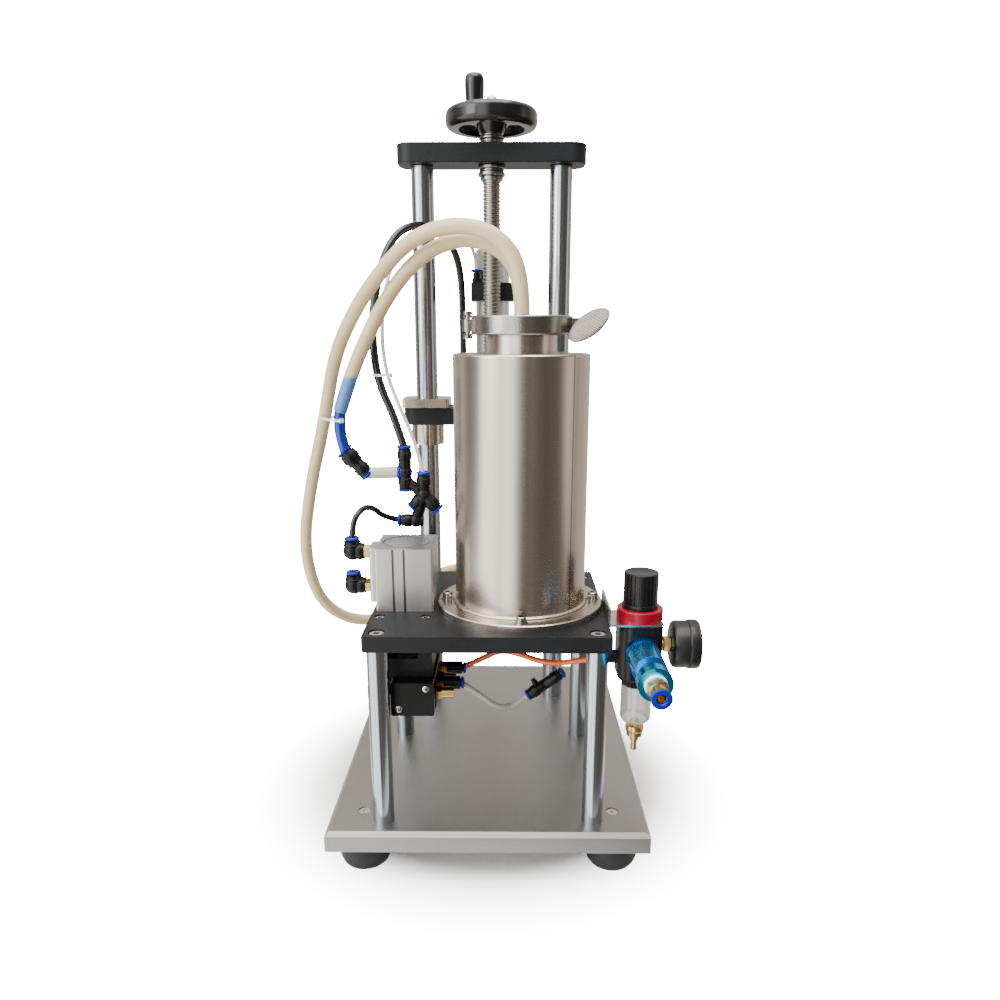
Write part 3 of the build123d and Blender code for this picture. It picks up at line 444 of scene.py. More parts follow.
washers_low, washers_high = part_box("thrust_washers")
under = ring_stack("rings_under_bar", crest_radius + 0.00005, washers_low.z, [
    (0.0128, 0.0045), (0.0150, 0.0045), (0.0135, 0.0028), (0.0150, 0.0037)])
top_ring = washers_high.z - bar_high.z - 0.009
over = ring_stack("rings_over_bar", journal_radius + 0.00005, bar_high.z, [
    (0.0140, 0.0032), (0.0128, 0.0028), (0.0140, 0.0030), (0.0120, top_ring)])
fitted(joined("thrust_rings", [under, over]), dark_steel, "spindle", "steel", "thrust_washers")

# ---- Handwheel and crank -----------------------------------------------------------------
# A moulded black handwheel, polished by use, keyed on the screw's journal under a dome nut.
# Its crank handle turns freely on a steel stud at the rim.
bakelite = moulded("polished_bakelite", (0.003, 0.003, 0.0035), (0.01, 0.01, 0.012), 0.22, 380, 0.1, 0.3)
coat(bakelite, "handwheel")
crank_low, crank_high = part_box("crank_handle")
crank_foot = (middle_of("crank_handle", 0), middle_of("crank_handle", 1), crank_low.z)
crank_tall = crank_high.z - crank_low.z
crank = turned("crank_grip", [
    (0.0045, 0), (0.0078, 0), (0.0088, 0.0012), (0.0092, 0.006), (0.0102, crank_tall * 0.4),
    (0.0109, crank_tall * 0.72), (0.0108, crank_tall * 0.86), (0.0098, crank_tall * 0.95),
    (0.0080, crank_tall * 0.99), (0.0068, crank_tall), (0.0066, crank_tall - 0.002),
    (0.0066, crank_tall - 0.0065), (0.0045, crank_tall - 0.0065), (0.0045, 0),
], crank_foot, steps=64)
fitted(crank, bakelite, "crank", "black_plastic", "crank_handle")

# ---- Crosshead and dosing head ---------------------------------------------------------------
# The crosshead bar slides on the columns by two nickel-plated flanged bearings and carries
# the lead nut, the satin drive cylinder in its holder, and the stainless dosing barrel below.
nickel = metal("nickel_plate", (0.44, 0.385, 0.31), (0.60, 0.55, 0.47), 0.17, 700, None, 0.05, 0.06)
brass = metal("machined_brass", (0.58, 0.38, 0.13), (0.80, 0.58, 0.25), 0.24, 650)
satin_tube = metal("satin_tube", (0.58, 0.58, 0.56), (0.72, 0.72, 0.70), 0.36, 300, (1, 1, 6))
black_plastic = moulded("black_nylon", (0.0025, 0.0025, 0.003), (0.008, 0.008, 0.009), 0.3, 520, sheen=0.2)
stainless = Finish("brushed_stainless")
brushing = stainless.noise(60, 5, (0.5, 0.5, 24))
cloudy = stainless.noise(7, 3, (1, 1, 0.35))
stainless_tone = stainless.mixed(brushing * 0.35 + cloudy * 0.6, (0.40, 0.34, 0.29), (0.60, 0.54, 0.47))
stainless = stainless.ends(
    Base_Color=stainless_tone, Metallic=1.0, Roughness=brushing * 0.1 + cloudy * 0.12 + 0.14,
    Normal=stainless.bump(brushing, 0.03, 0.0002))
coat(black_anodised, "crosshead", "port_block")
coat(nickel, "linear_bearings")
coat(bright_steel, "bearing_screws", "dosing_piston")
coat(brass, "lead_nut")
coat(satin_tube, "drive_cylinder")
coat(black_plastic, "drive_fittings")
coat(stainless, "dosing_barrel", "outlet_block", "nozzle")

# ---- Tank, lid and band clamp ------------------------------------------------------------------
# A brushed stainless tank welded to its flange, with four screws through the flange.
# A cast two-piece band clamp with a wing nut holds the lid on the ferrule of its neck.
cast_steel = metal("cast_stainless", (0.20, 0.19, 0.175), (0.42, 0.40, 0.37), 0.24, 700, None, 0.3, 0.1)
white_seal = moulded("white_seal", (0.75, 0.75, 0.72), (0.86, 0.86, 0.83), 0.45)
tank_steel = Finish("rolled_tank_steel")
streaks = tank_steel.noise(75, 2, (1, 1, 0.02), 0.5)
tank_cloud = tank_steel.noise(9, 3, (1, 1, 0.4))
cross_grain = tank_steel.noise(420, 2, (0.12, 0.12, 5))
tank_x = middle_of("tank", 0)
tank_y = middle_of("tank", 1)
tank_spot = tank_steel.spot()
seam_x = 0.0764
seam_foot = 0.197
seam_mask = tank_spot["X"].near(seam_x, 0.0006) * (tank_spot["Y"] < tank_y) * (tank_spot["Z"] > seam_foot)
streak_mask = (streaks * 2.0 - 0.5).clamp() * 0.6 + tank_cloud * 0.3
streak_tone = tank_steel.mixed(streak_mask, (0.40, 0.345, 0.295), (0.61, 0.55, 0.485))
tank_tone = tank_steel.mixed(seam_mask * 0.65, streak_tone, (0.12, 0.10, 0.09))
tank_steel = tank_steel.ends(
    Base_Color=tank_tone, Metallic=1.0,
    Roughness=streaks * 0.06 + cross_grain * 0.04 + tank_cloud * 0.06 + 0.18,
    Normal=tank_steel.bump(cross_grain, 0.012, 0.0001))
coat(tank_steel, "tank", "tank_lid")
coat(cast_steel, "clamp_halves")
coat(white_seal, "lid_gasket")
coat(bright_steel, "clamp_bolt")
flange_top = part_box("tank")[0].z + 0.006
bead = turned("tank_weld_bead", [
    (0.0633, 0), (0.0655, 0), (0.0661, 0.0006), (0.0658, 0.0014), (0.0648, 0.0022), (0.0636, 0.0027),
    (0.0633, 0.0026),
], (tank_x, tank_y, flange_top - 0.0002), steps=128)
weld_steel = metal("weld_bead_steel", (0.36, 0.30, 0.25), (0.62, 0.57, 0.50), 0.32, 260, None, 0.6, 0.12)
fitted(bead, weld_steel, "root", "stainless")


def cap_screw(place, radius, tall):
    """A socket cap screw's head on a plain washer."""
    washer = radius * 1.25
    mouth = radius * 0.56
    head = turned("head", [
        (0, -0.0004), (washer, -0.0004), (washer, 0.0008), (radius * 0.98, 0.0008), (radius, 0.0012),
        (radius, tall - 0.0005), (radius - 0.0005, tall), (mouth, tall)], place, steps=32)
    socket = turned("socket", [(mouth, tall), (radius * 0.52, tall * 0.45), (0, tall * 0.45)], place, steps=6)
    face = tall - 0.00002
    collar = turned("socket_face", [(radius * 0.60, face), (radius * 0.48, face)], place, steps=32)
    return joined("cap_screw", [head, socket, collar])


screw_ring = 0.072
tank_screws = []
for turn in (0, math.pi / 2, math.pi, -math.pi / 2):
    screw_at = (tank_x + screw_ring * math.cos(turn), tank_y + screw_ring * math.sin(turn), flange_top)
    tank_screws.append(cap_screw(screw_at, 0.0048, 0.0066))
screw_metal = metal("cap_screw_steel", (0.30, 0.29, 0.27), (0.5, 0.48, 0.45), 0.2, 900)
fitted(joined("tank_cap_screws", tank_screws), screw_metal, "root", "steel")

nut_axis_x = middle_of("clamp_bolt", 0)
nut_z = middle_of("wing_nut", 2)
nut_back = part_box("wing_nut")[1].y
wing_lean = math.radians(37)
wings = added(bpy.ops.mesh.primitive_uv_sphere_add, segments=48, ring_count=24, radius=1, location=(0, 0, 0))
wings.data.transform(Matrix.Diagonal((0.0210, 0.0108, 0.0028, 1)))
wings.data.transform(Matrix.Rotation(math.radians(62), 4, "X"))
wings.data.transform(Matrix.Rotation(-wing_lean, 4, "Y"))
wings.data.transform(Matrix.Translation((nut_axis_x, nut_back - 0.0205, nut_z)))
bpy.ops.object.shade_smooth()
wing_hub = turned("wing_nut_hub", [
    (0.0031, 0), (0.0074, 0), (0.0075, 0.0045), (0.0066, 0.006), (0.0060, 0.017), (0.0052, 0.019),
    (0.0031, 0.019), (0.0031, 0),
], (nut_axis_x, nut_back, nut_z), (0, -1, 0), soften=0.0004)
wing_steel = Finish("ribbed_cast_wing")
wing_spot = wing_steel.node("ShaderNodeMapping", {}, {
    "Vector": wing_steel.at(), "Rotation": (0, wing_lean + math.radians(70), 0)})["Vector"]
wing_ribs = wing_steel.node("ShaderNodeTexWave", {"wave_type": "BANDS", "bands_direction": "X"}, {
    "Vector": wing_spot, "Scale": 260, "Distortion": 1.5, "Detail": 2})["Fac"]
wing_steel = wing_steel.ends(
    Base_Color=wing_steel.mixed(wing_ribs, (0.12, 0.10, 0.085), (0.33, 0.295, 0.26)), Metallic=1.0,
    Roughness=wing_ribs * 0.12 + 0.36, Normal=wing_steel.bump(wing_ribs, 0.5, 0.0005))
fitted(joined("wing_nut_cast", [wings, wing_hub]), wing_steel, "wing_nut", "stainless", "wing_nut")

# ---- Product hoses -------------------------------------------------------------
# Two cream silicone hoses of 14 mm push on to the barbs of the tank lid and arch over to the left.
# The long one drops to the dosing head's inlet behind; the short one ends in a blue air tube.


def laid_line(name, points):
    """A smooth NURBS line through the air by its control points, in metres."""
    data = bpy.data.curves.new(name, "CURVE")
    data.dimensions = "3D"
    spline = data.splines.new("NURBS")
    spline.points.add(len(points) - 1)
    for point, place in zip(spline.points, points):
        point.co = (*place, 1)
    spline.order_u = 3
    spline.use_endpoint_u = True
    data.resolution_u = 14
    line = bpy.data.objects.new(name, data)
    bpy.context.collection.objects.link(line)
    return line


def points_on(line):
    """The points that a line without thickness follows."""
    bpy.context.view_layer.update()
    seen_line = line.evaluated_get(bpy.context.evaluated_depsgraph_get())
    mesh = bpy.data.meshes.new_from_object(seen_line)
    found = [tuple(v.co) for v in mesh.vertices]
    bpy.data.meshes.remove(mesh)
    return found


def tube_of(name, points, radius, sides=5):
    """A tube as a curve, and its centreline's points."""
    line = laid_line(name, points)
    path = points_on(line)
    line.data.bevel_depth = radius
    line.data.bevel_resolution = sides
    line.data.use_fill_caps = True
    return line, path


def as_mesh(line):
    """The same tube as a mesh."""
    pick(line)
    bpy.ops.object.convert(target="MESH")
    tube = bpy.context.object
    bpy.ops.object.shade_smooth()
    return tube


def silicone_finish(name, insert_edges=None):
    """Cream silicone; below the edges' heights it shows the blue tube that is pushed into it."""
    finish = Finish(name)
    cloud = finish.noise(22, 4)
    tone = finish.mixed(cloud, (0.54, 0.42, 0.215), (0.67, 0.56, 0.335))
    if insert_edges:
        blue = finish.mixed(cloud, (0.05, 0.17, 0.42), (0.10, 0.26, 0.54))
        tone = finish.mixed(finish.spot()["Z"].rising(*insert_edges), tone, blue)
    return finish.ends(
        Base_Color=tone, Roughness=finish.noise(140) * 0.15 + 0.27,
        Normal=finish.bump(finish.noise(260, 2), 0.12, 0.0004),
        Subsurface_Weight=0.25, Subsurface_Radius=(0.004, 0.0035, 0.0025), Coat_Weight=0.15,
    )


silicone = silicone_finish("cream_silicone")
silicone_insert = silicone_finish("silicone_over_blue_tube", (0.4115, 0.407))
head_inlet = (-0.026, 0.154, 0.155)
product_points = [
    (0.0307, -0.1077, 0.4675), (0.0307, -0.1077, 0.506), (0.009, -0.107, 0.535), (-0.028, -0.098, 0.545),
    (-0.068, -0.083, 0.535), (-0.102, -0.065, 0.506), (-0.132, -0.046, 0.470), (-0.157, -0.025, 0.427),
    (-0.175, 0, 0.363), (-0.203, 0.030, 0.282), (-0.222, 0.060, 0.202), (-0.214, 0.090, 0.129),
    (-0.177, 0.120, 0.092), (-0.130, 0.148, 0.092), (-0.092, 0.155, 0.130), (-0.062, 0.154, 0.155),
    head_inlet,
]
product_line, product_path = tube_of("product_hose_tube", product_points, 0.007, 7)
product_hose = as_mesh(product_line)
product_hose.data.materials.append(silicone)
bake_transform(product_hose)
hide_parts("product_hose")

vacuum_points = [
    (0.0307, -0.0797, 0.4675), (0.0307, -0.0797, 0.500), (0.012, -0.080, 0.526), (-0.022, -0.078, 0.536),
    (-0.060, -0.071, 0.523), (-0.093, -0.060, 0.490), (-0.120, -0.049, 0.446), (-0.141, -0.040, 0.403),
    (-0.151, -0.036, 0.375),
]
vacuum_hose, vacuum_path = tube_of("vacuum_hose_tube", vacuum_points, 0.007, 7)
vacuum_hose.data.materials.append(silicone_insert)
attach(vacuum_hose, "root")
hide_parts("vacuum_hose")


# ---- Air tubes -------------------------------------------------------------------
# Polyurethane air tubes: 12 mm blue, 8 and 6 mm black, 6 mm grey and orange, and 4 mm clear.
# The black and clear ones run up and over to the drive cylinder on the crosshead.


def tube_finish(name, dark, light, rough=0.2, clear=0.0):
    """Smooth polyurethane, faintly clouded."""
    finish = Finish(name)
    tone = finish.mixed(finish.noise(60), dark, light)
    shine = finish.noise(190) * 0.12 + rough
    return finish.ends(
        Base_Color=tone, Roughness=shine, Normal=finish.bump(finish.noise(420, 2), 0.05, 0.0003),
        Transmission_Weight=clear, IOR=1.45, Coat_Weight=0.2,
    )


blue_tubing = tube_finish("blue_polyurethane", (0.0, 0.010, 0.22), (0.0, 0.022, 0.36))
black_tubing = tube_finish("black_polyurethane", (0.003, 0.003, 0.004), (0.009, 0.009, 0.011))
clear_tubing = tube_finish("clear_polyurethane", (0.78, 0.8, 0.8), (0.9, 0.92, 0.92), 0.12, 0.35)
grey_tubing = tube_finish("grey_polyurethane", (0.40, 0.39, 0.35), (0.55, 0.54, 0.49))
orange_tubing = tube_finish("orange_polyurethane", (0.75, 0.09, 0.02), (0.85, 0.16, 0.04))

reducer_start = (-0.148, -0.030, 0.332)
blue_points = [vacuum_points[-1], (-0.155, -0.033, 0.352), reducer_start]
blue_tube = tube_of("blue_air_tube", blue_points, 0.006)[0]
blue_tube.data.materials.append(blue_tubing)
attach(blue_tube, "root")
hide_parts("blue_tube")

main_port = (-0.036, 0.154)
tee_top = (-0.088, -0.030, 0.336)
black_points = [
    tee_top, (-0.096, -0.030, 0.366), (-0.112, -0.030, 0.402), (-0.117, -0.027, 0.441), (-0.117, -0.016, 0.478),
    (-0.107, 0, 0.528), (-0.090, 0.020, 0.556), (-0.064, 0.055, 0.562), (-0.042, 0.095, 0.545),
    (-0.036, 0.130, 0.515), (-0.036, 0.152, 0.475), (*main_port, 0.430), (*main_port, 0.3926),
]
black_line, black_path = tube_of("black_air_tube", black_points, 0.004)
black_tube = as_mesh(black_line)
black_tube.data.materials.append(black_tubing)
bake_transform(black_tube)
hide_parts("black_tube")

small_port = (-0.0185, 0.1355)
cross_top = (-0.069, -0.030, 0.309)
clear_points = [
    cross_top, (-0.076, -0.030, 0.342), (-0.092, -0.031, 0.380), (-0.104, -0.035, 0.415),
    (-0.107, -0.033, 0.455), (-0.102, -0.020, 0.505), (-0.085, 0.005, 0.543), (-0.058, 0.048, 0.560),
    (-0.032, 0.096, 0.560),
    (-0.0205, 0.128, 0.542), (*small_port, 0.524), (*small_port, 0.512),
]
clear_line, clear_path = tube_of("clear_air_tube", clear_points, 0.002, 4)
clear_tube = as_mesh(clear_line)
clear_tube.data.materials.append(clear_tubing)
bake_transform(clear_tube)
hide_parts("clear_tube")

elbow_at = (-0.135, -0.088)
upper_port_z = 0.243
link_points = [
    (-0.093, -0.030, 0.261), (-0.110, -0.038, 0.266), (-0.118, -0.056, 0.280), (-0.126, -0.074, 0.284),
    (*elbow_at, 0.271), (*elbow_at, 0.2456),
]
signal_points = [
    (-0.028, -0.123, 0.1185), (-0.012, -0.123, 0.108), (0.008, -0.116, 0.088), (0.026, -0.103, 0.084),
    (0.042, -0.100, 0.096),
]
supply_points = [
    (0.112, -0.126, 0.148), (0.088, -0.124, 0.142), (0.058, -0.100, 0.128), (0.015, -0.086, 0.140),
    (-0.008, -0.086, 0.128), (-0.028, -0.086, 0.1185),
]
for tube_name, tube_points, tube_look, tube_node, tube_slot in (
    ("black_link_air_tube", link_points, black_tubing, "black_link_tube", "black_tube"),
    ("grey_signal_tube", signal_points, grey_tubing, "signal_tube", "grey_tube_soft"),
    ("orange_supply_tube", supply_points, orange_tubing, "supply_tube", "orange_tube"),
):
    tube, tube_path = tube_of(tube_name, tube_points, 0.003)
    tube.data.materials.append(tube_look)
    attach(tube, "root")
    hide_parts(tube_node)

# ---- Push-in fittings --------------------------------------------------------------------
# Black nylon push-in fittings for air tube, each mouth with a blue release collet.
# Most hang on the tubes in one cluster; the others screw into the cylinder, valve and regulator.


def arm(start, way, radius, length, bore=0.0):
    """One arm of a fitting, with a shoulder before its mouth and a bore where a tube goes in."""
    waist = radius * 0.88
    outline = [(0, 0), (waist, 0)]
    if length > 0.012:
        outline += [(waist, length - 0.0102), (radius, length - 0.0096)]
    outline += [(radius, length - 0.0034), (radius - 0.0006, length - 0.0030), (radius - 0.0006, length)]
    if bore:
        outline += [(bore, length), (bore, length - 0.004), (0, length - 0.004)]
    else:
        outline += [(0, length)]
    return turned("arm", outline, start, way, 32, 0.0002)


def collet(at, way, tube, body=0.0075):
    """A blue release collet round a tube, as wide as the mouth of its fitting."""
    lip = max(body - 0.0006, tube + 0.0015)
    return turned("collet", [
        (tube + 0.0002, -0.0012), (tube + 0.0012, -0.0012), (tube + 0.0012, 0.0006), (lip - 0.0008, 0.0009),
        (lip, 0.0016), (lip, 0.0030), (lip - 0.0009, 0.0038), (tube + 0.0010, 0.0040), (tube + 0.0002, 0.0030),
        (tube + 0.0002, -0.0012),
    ], at, way, 40)


def knuckle(at, radius):
    """The ball that the arms of a fitting meet in."""
    ball = added(bpy.ops.mesh.primitive_uv_sphere_add, segments=32, ring_count=16, radius=radius, location=at)
    bpy.ops.object.transform_apply(location=True)
    bpy.ops.object.shade_smooth()
    return ball


blue_nylon = moulded("blue_collet", (0.0, 0.005, 0.17), (0.0, 0.012, 0.30), 0.34)
cluster_y = -0.030
reducer_way = Vector((20, 0, -21)).normalized()
reducer_end = Vector((-0.128, cluster_y, 0.311))
tee_side = Vector((-0.091, cluster_y, 0.312))
tee_centre = Vector((-0.088, cluster_y, 0.312))
cross_centre = Vector((-0.069, cluster_y, 0.289))
right_down = Vector((0.6428, 0, -0.7660))
left_down = Vector((-0.6428, 0, -0.7660))
bridge = tee_centre - Vector((0, 0, 0.008))
low_hub = Vector((-0.078, cluster_y, 0.261))
reducer_half = (reducer_end - Vector(reducer_start)).length / 2
reducer_middle = Vector(reducer_start) + reducer_way * reducer_half
bodies = [
    arm(reducer_middle, -reducer_way, 0.0095, reducer_half, 0.0062),
    arm(reducer_middle - reducer_way * 0.001, reducer_way, 0.008, reducer_half + 0.001, 0.0061),
    arm(tee_centre, (0, 0, 1), 0.0075, 0.024, 0.0041),
    arm(tee_centre, (-1, 0, 0), 0.008, 0.0035, 0.0061),
    arm(tee_centre, (0, 0, -1), 0.0075, 0.016),
    knuckle(tee_centre, 0.0078),
    arm(bridge, cross_centre - bridge, 0.006, (cross_centre - bridge).length),
    arm(cross_centre, (0, 0, 1), 0.0075, 0.020, 0.0021),
    arm(cross_centre, right_down, 0.0075, 0.019, 0.0031),
    arm(cross_centre, left_down, 0.007, 0.016),
    knuckle(cross_centre, 0.008),
    arm(low_hub, cross_centre - low_hub, 0.007, (cross_centre - low_hub).length),
    arm(low_hub + Vector((0.008, 0, 0)), (-1, 0, 0), 0.007, 0.023, 0.0031),
    knuckle(low_hub, 0.0074),
]
fitted(joined("fitting_cluster", bodies), black_plastic, "root", "black_plastic", "push_in_fittings")
inline_start = Vector(signal_points[-1])
inline_way = Vector((30, 0, 22)).normalized()
inline_long = 0.0372
inline_side = Vector((-inline_way.z, 0, inline_way.x))
inline_middle = inline_start + inline_way * inline_long / 2
inline = joined("inline_fitting", [
    arm(inline_middle, -inline_way, 0.0065, inline_long / 2, 0.0031),
    arm(inline_middle, inline_way, 0.0065, inline_long / 2, 0.0031),
    arm(inline_start + inline_way * 0.011, inline_side, 0.003, 0.012),
])
fitted(inline, black_plastic, "root", "black_plastic")
link = turned("grey_link_tube", [(0.0059, -0.004), (0.006, -0.003), (0.006, 0.040), (0.0059, 0.041)],
              reducer_end, tee_side - reducer_end, 32)
fitted(link, grey_tubing, "root", "grey_tube_soft")
valve_left = -0.112
valve_port_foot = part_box("air_elbows")[0].z
regulator_at = (0.145, -0.126)
gauge_z = 0.161
inlet_mouth = (regulator_at[0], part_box("inlet_fitting")[0].y + 0.0005, gauge_z)
collets = [
    collet(reducer_start, -reducer_way, 0.006, 0.0100),
    collet(reducer_end, reducer_way, 0.006, 0.0085),
    collet(tee_side + Vector((-0.0005, 0, 0)), (-1, 0, 0), 0.006, 0.0085),
    collet(tee_top, (0, 0, 1), 0.004, 0.008),
    collet(tee_centre - Vector((0, 0, 0.016)), (0, 0, -1), 0.003, 0.008),
    collet(cross_top, (0, 0, 1), 0.002, 0.008),
    collet(cross_centre + right_down * 0.019, right_down, 0.003, 0.008),
    collet(cross_centre + left_down * 0.016, left_down, 0.0025, 0.0075),
    collet(link_points[0], (-1, 0, 0), 0.003, 0.0075),
    collet(inline_start, -inline_way, 0.003, 0.0065),
    collet(inline_start + inline_way * inline_long, inline_way, 0.003, 0.0065),
    collet((*elbow_at, upper_port_z + 0.0106), (0, 0, 1), 0.003, 0.008),
    collet((valve_left, -0.132, valve_port_foot), (0, 0, -1), 0.003, 0.0065),
    collet((valve_left, -0.110, valve_port_foot), (0, 0, -1), 0.003, 0.0065),
    collet(supply_points[-1], (1, 0, 0), 0.003, 0.0065),
    collet(signal_points[0], (1, 0, 0), 0.003, 0.0065),
    collet(supply_points[0], (-1, 0, 0), 0.003, 0.0065),
    collet(inlet_mouth, (0, -1, 0), 0.004, 0.0098),
]
fitted(joined("release_collets", collets), blue_nylon, "root", "blue_tube")
swivel_collet = collet((*elbow_at, 0.2186), (0, 0, 1), 0.003, 0.008)
swivel_collet.name = "swivel_collet"
fitted(swivel_collet, blue_nylon, "swivel_elbow", "blue_tube")
drive_collets = joined("drive_collets", [
    collet((*main_port, 0.4006), (0, 0, 1), 0.004, 0.0065),
    collet((*small_port, 0.519), (0, 0, 1), 0.002),
])
fitted(drive_collets, blue_nylon, "crosshead", "blue_tube")
coat(black_plastic, "air_elbows", "swivel_elbow")


def elbow_shell(name, corner, body):
    """The bulge of an elbow's corner and the shoulders of its two arms."""
    corner = Vector(corner)
    shell = [
        knuckle(corner, 0.0092),
        arm(corner, (0, 0, 1), 0.0087, 0.0104, 0.0033),
        arm(corner, (1, 0, 0), 0.0087, 0.0118, 0.0038),
    ]
    return fitted(joined(name, shell), black_plastic, body, "black_plastic")


elbow_shell("upper_elbow_shell", (*elbow_at, upper_port_z), "root")
elbow_shell("lower_elbow_shell", (*elbow_at, 0.208), "swivel_elbow")
coat(brass, "brass_stems")

# ---- Compact cylinder and pinch rod ----------------------------------------------------------
# A square aluminium air cylinder bolted on the table, with slots for switches in its faces.
# Its rod goes down through the table and pinches a soft tube in the bracket's window.
bright_anodised = Finish("bright_anodised")
extruded_lines = bright_anodised.noise(55, 4, (1, 1, 0.05))
anodised_grain = bright_anodised.noise(1500, 2)
slot_spot = bright_anodised.spot()
half_slot = 0.0011
body_wide = 0.056
cylinder_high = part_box("pinch_cylinder")[1]
body_left = cylinder_high.x - body_wide
# The two switch slots are coloured near black: painted shade in their grooves, not a tone of the anodising.
first_slot_shade = slot_spot["X"].near(body_left + body_wide * 0.3 + 0.0009, half_slot)
second_slot_shade = slot_spot["X"].near(body_left + body_wide * 0.49 + 0.0009, half_slot)
painted_slot_shade = (first_slot_shade + second_slot_shade).clamp() * (slot_spot["Z"] < cylinder_high.z - 0.001)
anodised_mask = extruded_lines * 0.7 + anodised_grain * 0.3
anodised_tone = bright_anodised.mixed(anodised_mask, (0.40, 0.39, 0.39), (0.62, 0.61, 0.61))
bright_anodised = bright_anodised.ends(
    Base_Color=bright_anodised.mixed(painted_slot_shade * 0.8, anodised_tone, (0.06, 0.06, 0.06)), Metallic=0.9,
    Roughness=extruded_lines * 0.16 + anodised_grain * 0.1 + 0.2,
    Normal=bright_anodised.bump(anodised_grain * 0.5 + extruded_lines * 0.5, 0.12, 0.0002))
coat(bright_anodised, "pinch_cylinder")
coat(bright_steel, "pinch_rod")

# ---- Air valve -----------------------------------------------------------------------------------
# A black spool valve hangs under the bracket, with a cross-head screw in each end cap,
# brass silencers on one side and elbows on the other.
coat(black_anodised, "valve_body")
coat(black_plastic, "valve_caps")
coat(bright_steel, "valve_spool")
valve_low, valve_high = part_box("valve_caps")
valve_mid_x = middle_of("valve_caps", 0)
valve_mid_z = middle_of("valve_body", 2)
pan_outline = [(0, 0), (0.0034, 0), (0.0035, 0.0006), (0.0031, 0.0011), (0.0018, 0.0014), (0, 0.0015)]
cross_screws = []
cross_recess_shades = []
for end_y, outward in ((valve_low.y + 0.0008, -1), (valve_high.y - 0.0008, 1)):
    for side in (-1, 1):
        spot = Vector((valve_mid_x + side * 0.013, end_y, valve_mid_z + side * 0.0105))
        cross_screws.append(turned("pan_head", pan_outline, spot, (0, outward, 0), 32))
        # Each cross recess is two thin dark bars laid on the head: painted shade standing in for the recess.
        recess_shade_at = Matrix.Translation(spot + Vector((0, outward * 0.0010, 0)))
        for lean in (0, math.pi / 2):
            slot = added(bpy.ops.mesh.primitive_cube_add, size=1)
            slot.data.transform(Matrix.Diagonal((0.0036, 0.0014, 0.0008, 1)))
            slot.data.transform(recess_shade_at @ Matrix.Rotation(lean, 4, "Y"))
            cross_recess_shades.append(slot)
fitted(joined("valve_cap_screws", cross_screws), bright_steel, "root", "steel")
fitted(joined("valve_screw_recess_shades", cross_recess_shades), black_plastic, "root", "black_plastic")

# ---- Filter regulator --------------------------------------------------------------------------------
# A small filter regulator on a steel bracket: black die-cast body, red lock ring, ribbed knob,
# clear bowl with a brass drain, a gauge on its right and a blue slide valve at its inlet.
knob_black = moulded("knob_black", (0.003, 0.003, 0.0035), (0.01, 0.01, 0.011), 0.3, 420, 0.15)
black_paint = moulded("die_cast_paint", (0.004, 0.004, 0.0045), (0.013, 0.013, 0.014), 0.34, 900, 0.25)
red_plastic = moulded("red_lock_ring", (0.20, 0.0, 0.010), (0.33, 0.001, 0.02), 0.32)
blue_anodised = metal("blue_anodised", (0.0, 0.30, 0.70), (0.01, 0.46, 0.88), 0.26, 500)
bowl_look = Finish("clear_bowl_plastic")
bowl_look = bowl_look.ends(
    Base_Color=bowl_look.mixed(bowl_look.noise(40), (0.86, 0.88, 0.86), (0.96, 0.97, 0.96)),
    Roughness=bowl_look.noise(150) * 0.08 + 0.05, Transmission_Weight=0.85, IOR=1.49)
coat(bright_steel, "regulator_bracket")
coat(black_paint, "regulator_body")
coat(red_plastic, "regulator_ring")
coat(black_plastic, "regulator_knob")
coat(bowl_look, "filter_bowl")
coat(brass, "inlet_fitting")
coat(blue_anodised, "slide_valve")


def round_turn(face):
    """The angle at which a face lies round the vertical axis."""
    middle = face.calc_center_median()
    return math.atan2(middle.y, middle.x)


def open_picked(cylinder, picked):
    """Opens a cylinder for editing, with the side faces picked whose number round it fits."""
    bpy.ops.object.transform_apply(location=True)
    bpy.ops.object.mode_set(mode="EDIT")
    bpy.ops.mesh.select_mode(type="FACE")
    bpy.ops.mesh.select_all(action="DESELECT")
    faces = bmesh.from_edit_mesh(cylinder.data).faces
    sides = sorted((f for f in faces if abs(f.normal.z) < 0.1), key=round_turn)
    for number, face in enumerate(sides):
        face.select = picked(number)
    bmesh.update_edit_mesh(cylinder.data)


# The knob has twenty-four ribs round it and a pressed-in flat top.
knob_low, knob_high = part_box("regulator_knob")
knob_tall = knob_high.z - knob_low.z
knob = added(
    bpy.ops.mesh.primitive_cylinder_add, vertices=96, radius=0.0163, depth=knob_tall,
    location=(0, 0, knob_tall / 2))
open_picked(knob, lambda number: number % 4 < 2)
bpy.ops.mesh.inset(thickness=0.00035, depth=0.0, use_individual=False)
bpy.ops.transform.resize(value=(0.945, 0.945, 0.92), center_override=(0, 0, knob_tall * 0.45))
bpy.ops.mesh.select_all(action="DESELECT")
edit = bmesh.from_edit_mesh(knob.data)
for face in edit.faces:
    if face.normal.z > 0.9 and face.calc_center_median().z > knob_tall * 0.98:
        face.select = True
bmesh.update_edit_mesh(knob.data)
bpy.ops.mesh.inset(thickness=0.0012, depth=0.0006)
bpy.ops.mesh.inset(thickness=0.0030, depth=-0.0012)
bpy.ops.object.mode_set(mode="OBJECT")
skirt = turned("knob_skirt", [
    (0.004, 0), (0.0169, 0), (0.0171, 0.0012), (0.0166, 0.0042), (0.0155, 0.0048), (0.004, 0.0048), (0.004, 0),
], (0, 0, 0), steps=96)
knob = joined("ribbed_knob", [knob, skirt])
knob.data.transform(Matrix.Translation((*regulator_at, knob_low.z)))
smoothed(knob, 25)
fitted(knob, knob_black, "regulator_knob", "black_plastic", "regulator_knob")

# The gauge has a black steel case, a crimped bezel, a white dial, a glass and a red pointer.
to_gauge = (1, 0, 0)
case_back = 0.176
case_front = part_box("gauge")[1].x
case_deep = case_front - case_back


